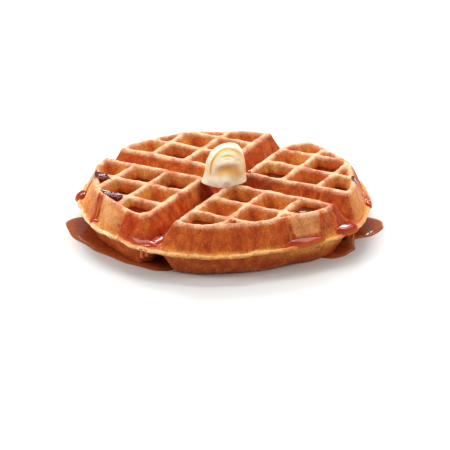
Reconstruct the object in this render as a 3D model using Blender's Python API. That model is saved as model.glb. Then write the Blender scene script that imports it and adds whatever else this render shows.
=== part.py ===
"""Round Belgian waffle with a scoop of whipped butter, in metres, +Z up.

The origin is the middle of the underside. The rows of pockets run along X and Y, and
two deep channels along the same axes split each face into four quadrants. Both faces
are alike, and a thin skirt of batter runs round the waffle at half its thickness.
"""
import math

import bmesh
import bpy

MM = 0.001

# Overall sizes of the waffle
THICKNESS = 31 * MM
HALF = THICKNESS / 2
CREST_RADIUS = 81.5 * MM         # outer edge of the crests, at the corners of the facets
SKIRT_RADIUS = 89.5 * MM
SKIRT_THICKNESS = 1.6 * MM
SKIRT_ROOT = 7.2 * MM            # how far the wall slopes out between crest and skirt
RING_STEPS = 96

# Grid of ribs
PITCH = 23.5 * MM
FIRST_RIB = 10.5 * MM            # from the middle of a channel to the rib beside it
ROWS = 3
POCKET_DEPTH = 12.5 * MM
CHANNEL_FLOOR = 1.5 * MM         # web left on each side of the mid plane
CREST_FLAT = 1.2 * MM            # half width of the flat that runs along a crest

# Rib section: depth below the crest and half width of the rib there
POCKET_RIB = [(0.0, CREST_FLAT), (1.3 * MM, 2.7 * MM), (10.6 * MM, 5.8 * MM), (POCKET_DEPTH, 7.6 * MM)]
CHANNEL_RIB = [(0.0, CREST_FLAT), (1.3 * MM, 2.7 * MM), (HALF - CHANNEL_FLOOR, 8.3 * MM)]
RIM_SHOULDER = 1.6 * MM          # from the crest's outer edge to its flat
MOUTH_CORNER = 4.2 * MM          # corner radius of a pocket's mouth
ABOVE = 4 * MM                   # how far a cutter stands above the face

# The rim is faceted: it has a soft corner every 30 degrees, and a facet across each channel
FACET_ANGLE = 30.0
FACET_STRENGTH = 0.8

# The batter ran short here, so the front quadrant's rim is drawn in
SHORT_ANGLE = -42.0
SHORT_WIDTH = 18.0
SHORT_DEPTH = 4.0 * MM

# The skirt spreads a little at the four mouths of the channels
MOUTH_SPREAD = 1.7 * MM
MOUTH_SPREAD_WIDTH = 11.0

# Two corners of quadrants are cut off where a channel leaves the waffle: the channel's
# angle, the side of it, and the radius at which the cut starts
MOUTH_CUTS = [(-90.0, -1, 71 * MM), (90.0, -1, 66 * MM)]
MOUTH_CUT_LENGTH = 19 * MM
MOUTH_CUT_SLOPE = 0.9

# The left quadrant's two small rim pockets are brim full of syrup, so they aren't cut
FULL_POCKETS = {(-3, -2), (-2, -3)}

# Syrup that lies thick on the skirt: angle, radius, height over the mid plane, and half
# sizes along the rim, outwards and upwards
SYRUP_POOLS = [
    (-97.0, 85.0, 0.9, 12.0, 4.8, 2.5),
    (-91.4, 78.6, 0.9, 4.0, 7.6, 2.1),
    (-6.6, 87.0, 0.9, 9.8, 5.6, 2.8),
    (-28.0, 85.2, 0.9, 12.8, 3.0, 2.5),
    (-149.0, 87.4, 1.0, 4.8, 2.8, 3.0),
    (-126.3, 86.2, 0.9, 4.6, 2.8, 2.6),
    (20.5, 88.4, 1.0, 3.5, 2.3, 2.6),
]
POOL_SEGMENTS = 14
POOL_RINGS = 8

# Butter: a scoop that stands on the crests over the crossing of the channels
BUTTER_PLACE = (3.8 * MM, -5.9 * MM)
BUTTER_TURN = math.radians(28.3)
BUTTER_GAP = 0.3 * MM
BUTTER_HEIGHT = 23.0             # millimetres, as are the scoop's other sizes
BUTTER_HALF_WIDTH = 12.3
BUTTER_HALF_DEPTH = 11.0
BUTTER_BELLY = 6.0               # height of the scoop's widest level
BUTTER_LEAN = 2.9                # how far the top leans to the right
BUTTER_FOOT_SPREAD = 0.13        # how far the foot spreads at the left, as a share
BUTTER_COLUMNS = 40
BUTTER_CROWN_ROWS = 13
BUTTER_FOOT_ROWS = 5

# Relief on the side of the scoop that faces -Y: depth inwards, middle and reach, across and up
BUTTER_RELIEF = [
    (3.4, 2.2, 9.6, 6.8, 2.7),       # hollow left by the scoop
    (-1.9, 2.2, 14.4, 7.2, 2.3),     # rolled fold above it
    (-1.6, 2.4, 3.2, 2.2, 2.4),      # nub under it
    (-2.6, -6.5, 2.6, 6.0, 2.8),     # soft roll at the left of the foot
    (1.4, 8.0, 3.0, 3.5, 4.5),       # melted side at the right of the foot
]
# Bands that the scoop left round its inner oval: the oval's middle and half sizes, and
# for each band its depth inwards, and its middle and width as shares of the oval
BUTTER_OVAL = (1.8, 7.0, 10.4, 14.0)
BUTTER_BANDS = [(0.9, 1.0, 0.06), (-0.5, 1.13, 0.06)]

CRUST_COLOUR = (0.62, 0.25, 0.06)
BUTTER_COLOUR = (0.90, 0.76, 0.42)


def clear_scene():
    """Remove whatever the file holds."""
    for item in list(bpy.data.objects):
        bpy.data.objects.remove(item, do_unlink=True)


def make_material(name, colour, roughness):
    """Plain Principled material."""
    material = bpy.data.materials.new(name)
    material.use_nodes = True
    shader = material.node_tree.nodes["Principled BSDF"]
    shader.inputs["Base Color"].default_value = (*colour, 1.0)
    shader.inputs["Roughness"].default_value = roughness
    shader.inputs["Metallic"].default_value = 0.0
    return material


def make_object(name, mesh, collection=None):
    """Object that holds a mesh, linked to a collection or to the scene."""
    item = bpy.data.objects.new(name, mesh)
    (collection or bpy.context.scene.collection).objects.link(item)
    return item


def hide_cutter(item):
    """Mark an object as a cutter, not a piece of the waffle."""
    item.hide_render = True
    item.display_type = "WIRE"


def add_loft(shape, loops):
    """Add one closed body to a bmesh: loops of points, bottom to top, with flat ends."""
    rings = [[shape.verts.new(point) for point in loop] for loop in loops]
    count = len(rings[0])
    for lower, upper in zip(rings, rings[1:]):
        for i in range(count):
            j = (i + 1) % count
            shape.faces.new((lower[i], lower[j], upper[j], upper[i]))
    shape.faces.new(tuple(reversed(rings[0])))
    shape.faces.new(tuple(rings[-1]))


def mesh_from(name, shape):
    """Turn a bmesh into a mesh with its faces pointing out."""
    bmesh.ops.recalc_face_normals(shape, faces=shape.faces)
    mesh = bpy.data.meshes.new(name)
    shape.to_mesh(mesh)
    shape.free()
    return mesh


def rounded_box_loop(centre, half, corner, steps, height):
    """Loop round a square with rounded corners, anticlockwise from above."""
    points = []
    inner = half - corner
    for quarter, (sx, sy) in enumerate(((1, 1), (-1, 1), (-1, -1), (1, -1))):
        for step in range(steps + 1):
            angle = math.radians(90 * (quarter + step / steps))
            points.append((centre[0] + sx * inner + corner * math.cos(angle),
                           centre[1] + sy * inner + corner * math.sin(angle), height))
    return points


def angle_gap(first, second):
    """Smallest difference between two angles, in degrees."""
    return abs((first - second + 180) % 360 - 180)


def bell(angle, centre, width):
    """Smooth bump of height 1 at an angle, in degrees."""
    return math.exp(-(angle_gap(angle, centre) / width) ** 2)


def crest_radius(angle):
    """Outer edge of the crests at an angle in degrees: facets, drawn in at the front."""
    half = FACET_ANGLE / 2
    off_middle = (angle + half) % FACET_ANGLE - half
    chord = math.cos(math.radians(half)) / math.cos(math.radians(off_middle))
    radius = CREST_RADIUS * (1 + FACET_STRENGTH * (chord - 1))
    return radius - SHORT_DEPTH * bell(angle, SHORT_ANGLE, SHORT_WIDTH)


def skirt_radius(angle):
    """Edge of the skirt at an angle in degrees: drawn in at the front, a little ragged."""
    turn = math.radians(angle)
    ragged = 0.45 * math.sin(8 * turn + 1.0) + 0.35 * math.sin(14 * turn) + 0.25 * math.sin(22 * turn + 2.0)
    spread = sum(bell(angle, mouth, MOUTH_SPREAD_WIDTH) for mouth in (0, 90, 180, 270))
    return (SKIRT_RADIUS + ragged * MM + MOUTH_SPREAD * spread
            - SHORT_DEPTH * bell(angle, SHORT_ANGLE, SHORT_WIDTH))


def ring(radius_at, height):
    """Loop of points round the waffle, with a radius for each angle."""
    points = []
    for step in range(RING_STEPS):
        angle = 360.0 * step / RING_STEPS
        turn = math.radians(angle)
        radius = radius_at(angle)
        points.append((radius * math.cos(turn), radius * math.sin(turn), height))
    return points


def waffle_disc():
    """Whole waffle before its pockets are cut: sloping walls that meet at the skirt."""
    wall = [
        (0.0, -RIM_SHOULDER),
        (0.6 * MM, -0.8 * MM),
        (2.2 * MM, 0.5 * MM),
        (8.0 * MM, 3.9 * MM),
        (HALF - SKIRT_THICKNESS / 2 - 0.4 * MM, SKIRT_ROOT),
    ]
    upper = [ring(lambda a, out=out: crest_radius(a) + out, HALF - depth) for depth, out in wall]
    edge = [ring(skirt_radius, SKIRT_THICKNESS / 2), ring(skirt_radius, -SKIRT_THICKNESS / 2)]
    lower = [[(x, y, -z) for x, y, z in loop] for loop in reversed(upper)]
    shape = bmesh.new()
    add_loft(shape, list(reversed(upper + edge + lower)))
    return mesh_from("waffle", shape)


def rim_limit(side):
    """Body that the pockets near the rim are kept within, for the upper or lower face."""
    loops = []
    for depth, rib in [(-ABOVE, CREST_FLAT)] + POCKET_RIB:
        inset = RIM_SHOULDER + rib
        loops.append(ring(lambda a, inset=inset: crest_radius(a) - inset, side * (HALF - depth)))
    base = [(x, y, side * (HALF - POCKET_DEPTH - ABOVE)) for x, y, _ in loops[-1]]
    shape = bmesh.new()
    add_loft(shape, loops + [base])
    return mesh_from("rim_limit", shape)


def pocket_cutters(side, corner_steps, keep_full):
    """All the pockets of one face as tapered plugs with flared mouths."""
    shape = bmesh.new()
    half_cell = PITCH / 2
    places = range(1, ROWS + 1)
    for column in [sx * i for sx in (-1, 1) for i in places]:
        for row in [sy * j for sy in (-1, 1) for j in places]:
            at_corner = abs(column) == ROWS and abs(row) == ROWS
            if at_corner or (keep_full and (column, row) in FULL_POCKETS):
                continue
            centre = [math.copysign(FIRST_RIB + (abs(k) - 0.5) * PITCH, k) for k in (column, row)]
            loops = []
            for depth, rib in [(-ABOVE, CREST_FLAT)] + POCKET_RIB:
                half = half_cell - rib
                corner = MOUTH_CORNER * half / (half_cell - CREST_FLAT)
                loops.append(rounded_box_loop(centre, half, corner, corner_steps, side * (HALF - depth)))
            add_loft(shape, loops)
    return mesh_from("pocket_cutters", shape)


def channel_section(side):
    """Section across a channel: offset from its middle and height, as a closed outline."""
    half = [(FIRST_RIB - rib, side * (HALF - depth)) for depth, rib in CHANNEL_RIB]
    half.insert(0, (half[0][0], side * (HALF + ABOVE)))
    return half + [(-offset, height) for offset, height in reversed(half)]


def channel_cutter(side, along_x):
    """Straight channel through the whole face."""
    reach = SKIRT_RADIUS + 10 * MM
    shape = bmesh.new()
    loops = []
    for end in (-reach, reach):
        loops.append([(end, offset, height) if along_x else (offset, end, height)
                      for offset, height in channel_section(side)])
    add_loft(shape, loops)
    return mesh_from("channel_cutter", shape)


def mouth_cutter(side, angle, hand, first):
    """Wedge that cuts one quadrant's corner off where a channel leaves the waffle."""
    turn = math.radians(angle)
    loops = []
    for height, back, half in (
            (HALF + ABOVE, -ABOVE, FIRST_RIB - 2.0 * MM),
            (CHANNEL_FLOOR, 7.5 * MM, FIRST_RIB - 8.3 * MM)):
        start = first + back
        end = start + MOUTH_CUT_LENGTH
        far = half + (end - start) * MOUTH_CUT_SLOPE
        plan = [(start, 0.0), (end, 0.0), (end, hand * far), (start, hand * half)]
        loops.append([(x * math.cos(turn) - y * math.sin(turn),
                       x * math.sin(turn) + y * math.cos(turn), side * height) for x, y in plan])
    shape = bmesh.new()
    add_loft(shape, loops)
    return mesh_from("mouth_cutter", shape)


def add_boolean(item, operation, operand):
    """Boolean modifier with an object or a collection."""
    modifier = item.modifiers.new(operation.lower(), "BOOLEAN")
    modifier.operation = operation
    modifier.solver = "EXACT"
    if isinstance(operand, bpy.types.Collection):
        modifier.operand_type = "COLLECTION"
        modifier.collection = operand
    else:
        modifier.object = operand


def add_ball(name, place, halves, turn, segments, rings, collection):
    """Ellipsoid with given half sizes, turned about Z."""
    shape = bmesh.new()
    bmesh.ops.create_uvsphere(shape, u_segments=segments, v_segments=rings, radius=1.0)
    bmesh.ops.scale(shape, vec=halves, verts=shape.verts)
    ball = make_object(name, mesh_from(name, shape), collection)
    ball.location = place
    ball.rotation_euler = (0, 0, turn)
    hide_cutter(ball)
    return ball


def syrup_pools(collection):
    """Ellipsoids of thick syrup on the skirt."""
    for number, (angle, radius, height, along, out, up) in enumerate(SYRUP_POOLS):
        turn = math.radians(angle)
        place = (radius * MM * math.cos(turn), radius * MM * math.sin(turn), HALF + height * MM)
        add_ball(f"syrup_pool_{number}", place, (out * MM, along * MM, up * MM), turn,
                 POOL_SEGMENTS, POOL_RINGS, collection)


def new_collection(name):
    """Collection in the scene."""
    collection = bpy.data.collections.new(name)
    bpy.context.scene.collection.children.link(collection)
    return collection


def build_waffle():
    """Waffle with its pockets and channels cut and its thick syrup fused on."""
    waffle = make_object("waffle", waffle_disc())
    waffle.location.z = HALF
    cutters = new_collection("waffle_cutters")
    for side, corner_steps in ((1, 2), (-1, 1)):
        limit = make_object("rim_limit", rim_limit(side), cutters_aside())
        pockets = make_object("pockets", pocket_cutters(side, corner_steps, side == 1), cutters)
        channels = [make_object("channel", channel_cutter(side, along_x), cutters) for along_x in (True, False)]
        mouths = [make_object("mouth", mouth_cutter(side, *cut), cutters) for cut in MOUTH_CUTS]
        for cutter in [limit, pockets] + channels + mouths:
            cutter.location.z = HALF
            hide_cutter(cutter)
        add_boolean(pockets, "INTERSECT", limit)
    add_boolean(waffle, "DIFFERENCE", cutters)
    pools = new_collection("waffle_syrup")
    syrup_pools(pools)
    add_boolean(waffle, "UNION", pools)
    waffle.data.materials.append(make_material("waffle_crust", CRUST_COLOUR, 0.6))
    return waffle


def cutters_aside():
    """Collection for shapes that only limit other cutters."""
    name = "limits"
    return bpy.data.collections.get(name) or new_collection(name)


def butter_point(around, crown, foot):
    """Point of the scoop's skin, in millimetres from the middle of its seat.

    around is the angle about Z. crown runs from 0 at the top to 1 at the widest level, and
    foot from 0 there to 1 at the seat. The skin is an egg that leans to +X at its top and
    spreads at its foot, pushed in or out along Y where the scoop left its relief on the
    side that faces -Y.
    """
    lean = math.pi / 2 * crown
    flare = 0.05 * (1 + 0.6 * math.sin(3 * around + 0.6)) + BUTTER_FOOT_SPREAD * max(0.0, -math.cos(around)) ** 3
    spread = math.sin(lean) ** 0.92 * (1 + flare * foot ** 2)
    x = BUTTER_HALF_WIDTH * spread * math.cos(around)
    y = BUTTER_HALF_DEPTH * spread * math.sin(around)
    z = BUTTER_BELLY * (1 - foot) + (BUTTER_HEIGHT - BUTTER_BELLY) * math.cos(lean)
    facing = max(0.0, -math.sin(around)) * math.sin(lean)
    push = 0.0
    for depth, across, up, reach_x, reach_z in BUTTER_RELIEF:
        push += depth * math.exp(-((x - across) / reach_x) ** 4 - ((z - up) / reach_z) ** 2)
    middle_x, middle_z, half_x, half_z = BUTTER_OVAL
    outline = math.hypot((x - middle_x) / half_x, (z - middle_z) / half_z)
    over = 1 / (1 + math.exp(5.0 - z))
    for depth, middle, width in BUTTER_BANDS:
        push += depth * over * math.exp(-((outline - middle) / width) ** 2)
    return x + BUTTER_LEAN * (z / BUTTER_HEIGHT) ** 4, y + push * facing ** 0.7, z


def build_butter():
    """Scoop of whipped butter that stands on the crests, with a flat seat."""
    levels = [(row / BUTTER_CROWN_ROWS, 0.0) for row in range(1, BUTTER_CROWN_ROWS + 1)]
    levels += [(1.0, row / BUTTER_FOOT_ROWS) for row in range(1, BUTTER_FOOT_ROWS + 1)]
    loops = []
    for crown, foot in reversed(levels):
        turns = [2 * math.pi * column / BUTTER_COLUMNS for column in range(BUTTER_COLUMNS)]
        loops.append([[MM * value for value in butter_point(turn, crown, foot)] for turn in turns])
    shape = bmesh.new()
    add_loft(shape, loops)
    butter = make_object("butter", mesh_from("butter", shape))
    butter.location = (*BUTTER_PLACE, THICKNESS + BUTTER_GAP)
    butter.rotation_euler = (0, 0, BUTTER_TURN)
    butter.data.materials.append(make_material("butter", BUTTER_COLOUR, 0.35))
    return butter


def main():
    """Build the waffle and its butter."""
    clear_scene()
    for item in (build_waffle(), build_butter()):
        item.data.shade_smooth()
        item.data.set_sharp_from_angle(angle=math.radians(40))


main()
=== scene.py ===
"""Belgian waffle with maple syrup and a scoop of whipped butter, dressed over its frame.

Shapes are worked out in millimetres and put into meshes in metres. Heights in a formula
count from the waffle's middle plane, halfway up its skirt, and angles are in degrees.
"""

import logging
import math
from dataclasses import dataclass
from enum import Enum
from typing import Callable, NamedTuple, Sequence

import bmesh
import bpy
import numpy as np
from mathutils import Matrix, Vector


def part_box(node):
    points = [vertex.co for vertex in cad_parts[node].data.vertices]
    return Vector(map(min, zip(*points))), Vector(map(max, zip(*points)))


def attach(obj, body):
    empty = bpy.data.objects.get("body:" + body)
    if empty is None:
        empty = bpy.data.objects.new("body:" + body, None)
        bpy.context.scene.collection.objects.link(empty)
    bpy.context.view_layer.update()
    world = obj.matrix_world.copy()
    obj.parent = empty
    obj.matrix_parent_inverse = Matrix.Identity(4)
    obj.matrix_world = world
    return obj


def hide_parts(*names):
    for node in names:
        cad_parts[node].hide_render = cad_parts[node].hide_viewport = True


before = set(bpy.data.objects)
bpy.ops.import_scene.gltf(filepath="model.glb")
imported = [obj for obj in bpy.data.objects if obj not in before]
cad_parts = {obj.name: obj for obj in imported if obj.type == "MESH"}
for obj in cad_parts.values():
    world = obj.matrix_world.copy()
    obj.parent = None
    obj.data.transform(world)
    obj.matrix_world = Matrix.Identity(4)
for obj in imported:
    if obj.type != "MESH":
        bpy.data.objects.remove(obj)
LOG = logging.getLogger("waffle")
MM = 0.001
FLOOR_GAP = 0.04
# Odd numbers that scatter the place of a lattice point into a number that looks random.
HASH_PLACE = np.array([374761393, 668265263, 1440662683])
HASH_SEED, HASH_MIX = 974634777, 1274126177
# For each wave its size in millimetres, how often it goes round the waffle, and its shift.
Waves = tuple[tuple[float, int, float], ...]
# Where a soft step starts and ends.
Band = tuple[float, float]


class Face(Enum):
    """The two faces of the waffle, by the sign of their height."""

    UPPER = 1
    LOWER = -1


class Spot(NamedTuple):
    """Bump round the waffle: its angle, its half width in degrees and its strength."""

    angle: float
    width: float
    strength: float


class Noise(NamedTuple):
    """Layer of noise: size, scale in millimetres, seed, and how much heights count in it.

    Where heights count for less, the pattern is drawn out downwards, as syrup runs.
    """

    size: float
    scale: float
    seed: int
    heights: float = 1.0


class Shell(NamedTuple):
    """Closed skin of syrup: vertices (n, 3), faces, and how dark it is at each vertex."""

    verts: np.ndarray
    faces: list[list[int]]
    body: np.ndarray


def linear(hex_colour: str) -> tuple[float, float, float, float]:
    """Turn an sRGB hex colour into linear RGBA.

    Args:
        hex_colour: six hex digits, such as "C8702E".

    Returns:
        Linear red, green and blue, and an alpha of 1.
    """
    values = [int(hex_colour[i:i + 2], 16) / 255 for i in (0, 2, 4)]
    return (*[v / 12.92 if v <= 0.04045 else ((v + 0.055) / 1.055) ** 2.4 for v in values], 1.0)


def soft_step(value: np.ndarray, low: float, high: float) -> np.ndarray:
    """Smooth step from 0 at low to 1 at high: 3t^2 - 2t^3 of the clipped share t."""
    share = np.clip((value - low) / (high - low), 0.0, 1.0)
    return share * share * (3 - 2 * share)


def soft_plus(value: np.ndarray, width: float) -> np.ndarray:
    """Rounded ramp, 0 far below and the value far above: width * log(1 + exp(value / width))."""
    return width * np.logaddexp(0.0, value / width)


def soft_min(values: Sequence[np.ndarray], width: float) -> np.ndarray:
    """Smallest of some arrays, with the corner between them rounded over a width."""
    return -width * np.logaddexp.reduce([-v / width for v in values], axis=0)


def dome(share: np.ndarray, power: float, least: float = 0.0) -> np.ndarray:
    """Rounded end, from 1 at a share of 0 to 0 at 1: (1 - |share|^power)^0.5."""
    return np.sqrt(np.clip(1 - np.abs(share) ** power, least, 1))


def bell(angle: np.ndarray, *spots: Spot) -> np.ndarray:
    """Sum of smooth bumps: strength * exp(-(gap / width)^2) of the gap from each spot."""
    gaps = [(angle - spot.angle + 180) % 360 - 180 for spot in spots]
    return sum(spot.strength * np.exp(-(gap / spot.width) ** 2) for gap, spot in zip(gaps, spots))


def sines(turn: np.ndarray, waves: Waves, wander: float = 0.0) -> np.ndarray:
    """Sum of waves: size * sin(count * a + shift + wander * sin(5 a + 3 shift))."""
    return sum(size * np.sin(count * turn + shift + wander * np.sin(5 * turn + 3 * shift))
               for size, count, shift in waves)


def polar(angle: float, radius: float) -> np.ndarray:
    """Plan point at an angle in degrees and a radius."""
    turn = math.radians(angle)
    return np.array([radius * math.cos(turn), radius * math.sin(turn)])


def around(x: np.ndarray, y: np.ndarray) -> tuple[np.ndarray, np.ndarray]:
    """Angles in degrees and radii of plan points."""
    return np.degrees(np.arctan2(y, x)), np.hypot(x, y)


def smooth(values: np.ndarray, times: int) -> np.ndarray:
    """Average each inner row with its neighbours, some times over: (a + 2b + c) / 4.

    Args:
        values: array (n, ...), left as it is.
        times: how often.

    Returns:
        The smoothed rows.
    """
    values = values.copy()
    for _ in range(times):
        values[1:-1] = (values[:-2] + 2 * values[1:-1] + values[2:]) / 4
    return values


def value_noise(points: np.ndarray, scale: float, seed: int) -> np.ndarray:
    """Smooth noise between -1 and 1.

    Each corner of a cubic lattice gets a number hashed from its place, and a point takes
    the blend of its cell's eight corners with quintic weights.

    Args:
        points: array (n, 3) of places, in millimetres.
        scale: edge of a lattice cell, in millimetres.
        seed: picks another set of numbers.

    Returns:
        Array (n,) of noise values.
    """
    place = points / scale
    cell = np.floor(place).astype(np.int64)
    share = place - cell
    weight = share ** 3 * (share * (share * 6 - 15) + 10)
    total = np.zeros(len(points))
    for corner in range(8):
        step = np.array([(corner >> axis) & 1 for axis in range(3)])
        key = (cell + step) @ HASH_PLACE + seed * HASH_SEED
        key = (key ^ (key >> 13)) * HASH_MIX
        number = ((key ^ (key >> 16)) & 0xFFFF) / 32767.5 - 1
        total += number * np.prod(np.where(step, weight, 1 - weight), axis=1)
    return total


def layered(points: np.ndarray, layers: Sequence[Noise]) -> np.ndarray:
    """Sum of layers of noise at points (n, 3), as an array (n,)."""
    return sum(n.size * value_noise(points * [1, 1, n.heights], n.scale, n.seed) for n in layers)


def flat_noise(x: np.ndarray, y: np.ndarray, scale: float, seed: int) -> np.ndarray:
    """Noise over the plan, for arrays of any shape, cut at a height off the lattice's planes."""
    points = np.stack([x.ravel(), y.ravel(), np.full(x.size, 0.37 * scale)], axis=1)
    return value_noise(points, scale, seed).reshape(x.shape)


def slope_normals(height: Callable[[np.ndarray, np.ndarray], np.ndarray], x: np.ndarray,
                  y: np.ndarray, step: float) -> np.ndarray:
    """Unit normals of a height over the plan, from its central differences.

    Args:
        height: gives the height at places x and y.
        x: places along X.
        y: places along Y.
        step: half the span of a difference.

    Returns:
        Array of x's shape and 3.
    """
    slopes = [(height(x + i, y + j) - height(x - i, y - j)) / (2 * step)
              for i, j in ((step, 0.0), (0.0, step))]
    normal = np.stack([-slopes[0], -slopes[1], np.ones_like(x)], axis=-1)
    return normal / np.linalg.norm(normal, axis=-1, keepdims=True)


def make_piece(name: str, verts: np.ndarray, faces: list[list[int]]) -> bpy.types.Object:
    """Make a smooth-shaded mesh object whose faces point outwards.

    Args:
        name: the piece's name.
        verts: array (n, 3) in millimetres, from the middle of the waffle's underside.
        faces: for each face its vertex numbers.

    Returns:
        The new object, linked to the scene.
    """
    mesh = bpy.data.meshes.new(name)
    mesh.from_pydata((verts * MM).tolist(), [], faces)
    mesh.validate()
    shape = bmesh.new()
    shape.from_mesh(mesh)
    bmesh.ops.recalc_face_normals(shape, faces=shape.faces)
    shape.to_mesh(mesh)
    shape.free()
    mesh.shade_smooth()
    piece = bpy.data.objects.new(name, mesh)
    bpy.context.scene.collection.objects.link(piece)
    return piece


def set_attribute(piece: bpy.types.Object, name: str, values: np.ndarray) -> None:
    """Store one number for each vertex of a piece."""
    attribute = piece.data.attributes.new(name, "FLOAT", "POINT")
    attribute.data.foreach_set("value", np.ascontiguousarray(values, np.float32))


def read_mesh(mesh: bpy.types.Mesh) -> tuple[np.ndarray, np.ndarray]:
    """Read where a mesh's vertices are and which way they face.

    Args:
        mesh: the mesh, in metres.

    Returns:
        Places (n, 3) in millimetres and unit normals (n, 3).
    """
    place = np.empty(len(mesh.vertices) * 3, np.float32)
    normal = np.empty_like(place)
    mesh.vertices.foreach_get("co", place)
    mesh.vertex_normals.foreach_get("vector", normal)
    return place.reshape(-1, 3).astype(float) / MM, normal.reshape(-1, 3).astype(float)


def grid_quads(rows: int, columns: int, start: int = 0, wrap: bool = False) -> np.ndarray:
    """Quads of a grid of vertices numbered row by row.

    Args:
        rows: number of rows of vertices.
        columns: vertices in a row.
        start: number of the first vertex.
        wrap: joins the last column to the first.

    Returns:
        Array (n, 4) of vertex numbers.
    """
    number = start + np.arange(rows * columns).reshape(rows, columns)
    if wrap:
        number = np.concatenate([number, number[:, :1]], axis=1)
    corners = [number[:-1, :-1], number[:-1, 1:], number[1:, 1:], number[1:, :-1]]
    return np.stack(corners, axis=-1).reshape(-1, 4)


def tube_faces(rows: int, columns: int) -> list[list[int]]:
    """Faces of a pile of rings, closed by a polygon over the first and over the last."""
    ends = [list(range(columns)), list(range((rows - 1) * columns, rows * columns))]
    return grid_quads(rows, columns, wrap=True).tolist() + ends


def closed_shell(top: np.ndarray, bottom: np.ndarray) -> tuple[np.ndarray, list[list[int]]]:
    """Join two grids of the same size into one closed skin, with a wall round their edges.

    Args:
        top: array (m, n, 3) of the upper surface.
        bottom: array (m, n, 3) of the lower surface.

    Returns:
        Vertices (2mn, 3) and faces.
    """
    rows, columns = top.shape[:2]
    count = rows * columns
    number = np.arange(count).reshape(rows, columns)
    edge = np.concatenate([number[0, :-1], number[:-1, -1], number[-1, :0:-1], number[:0:-1, 0]])
    after = np.roll(edge, -1)
    wall = np.stack([edge, after, after + count, edge + count], axis=1)
    faces = [grid_quads(rows, columns), grid_quads(rows, columns, count)[:, ::-1], wall]
    verts = np.concatenate([top.reshape(-1, 3), bottom.reshape(-1, 3)])
    return verts, np.concatenate(faces).tolist()


def unit_disc(steps: int) -> tuple[np.ndarray, np.ndarray]:
    """Square grid pressed into a disc of radius 1: x = s * (1 - t^2 / 2)^0.5, y likewise."""
    s, t = np.meshgrid(np.linspace(-1, 1, steps), np.linspace(-1, 1, steps), indexing="ij")
    return s * np.sqrt(1 - t * t / 2), t * np.sqrt(1 - s * s / 2)


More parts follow.
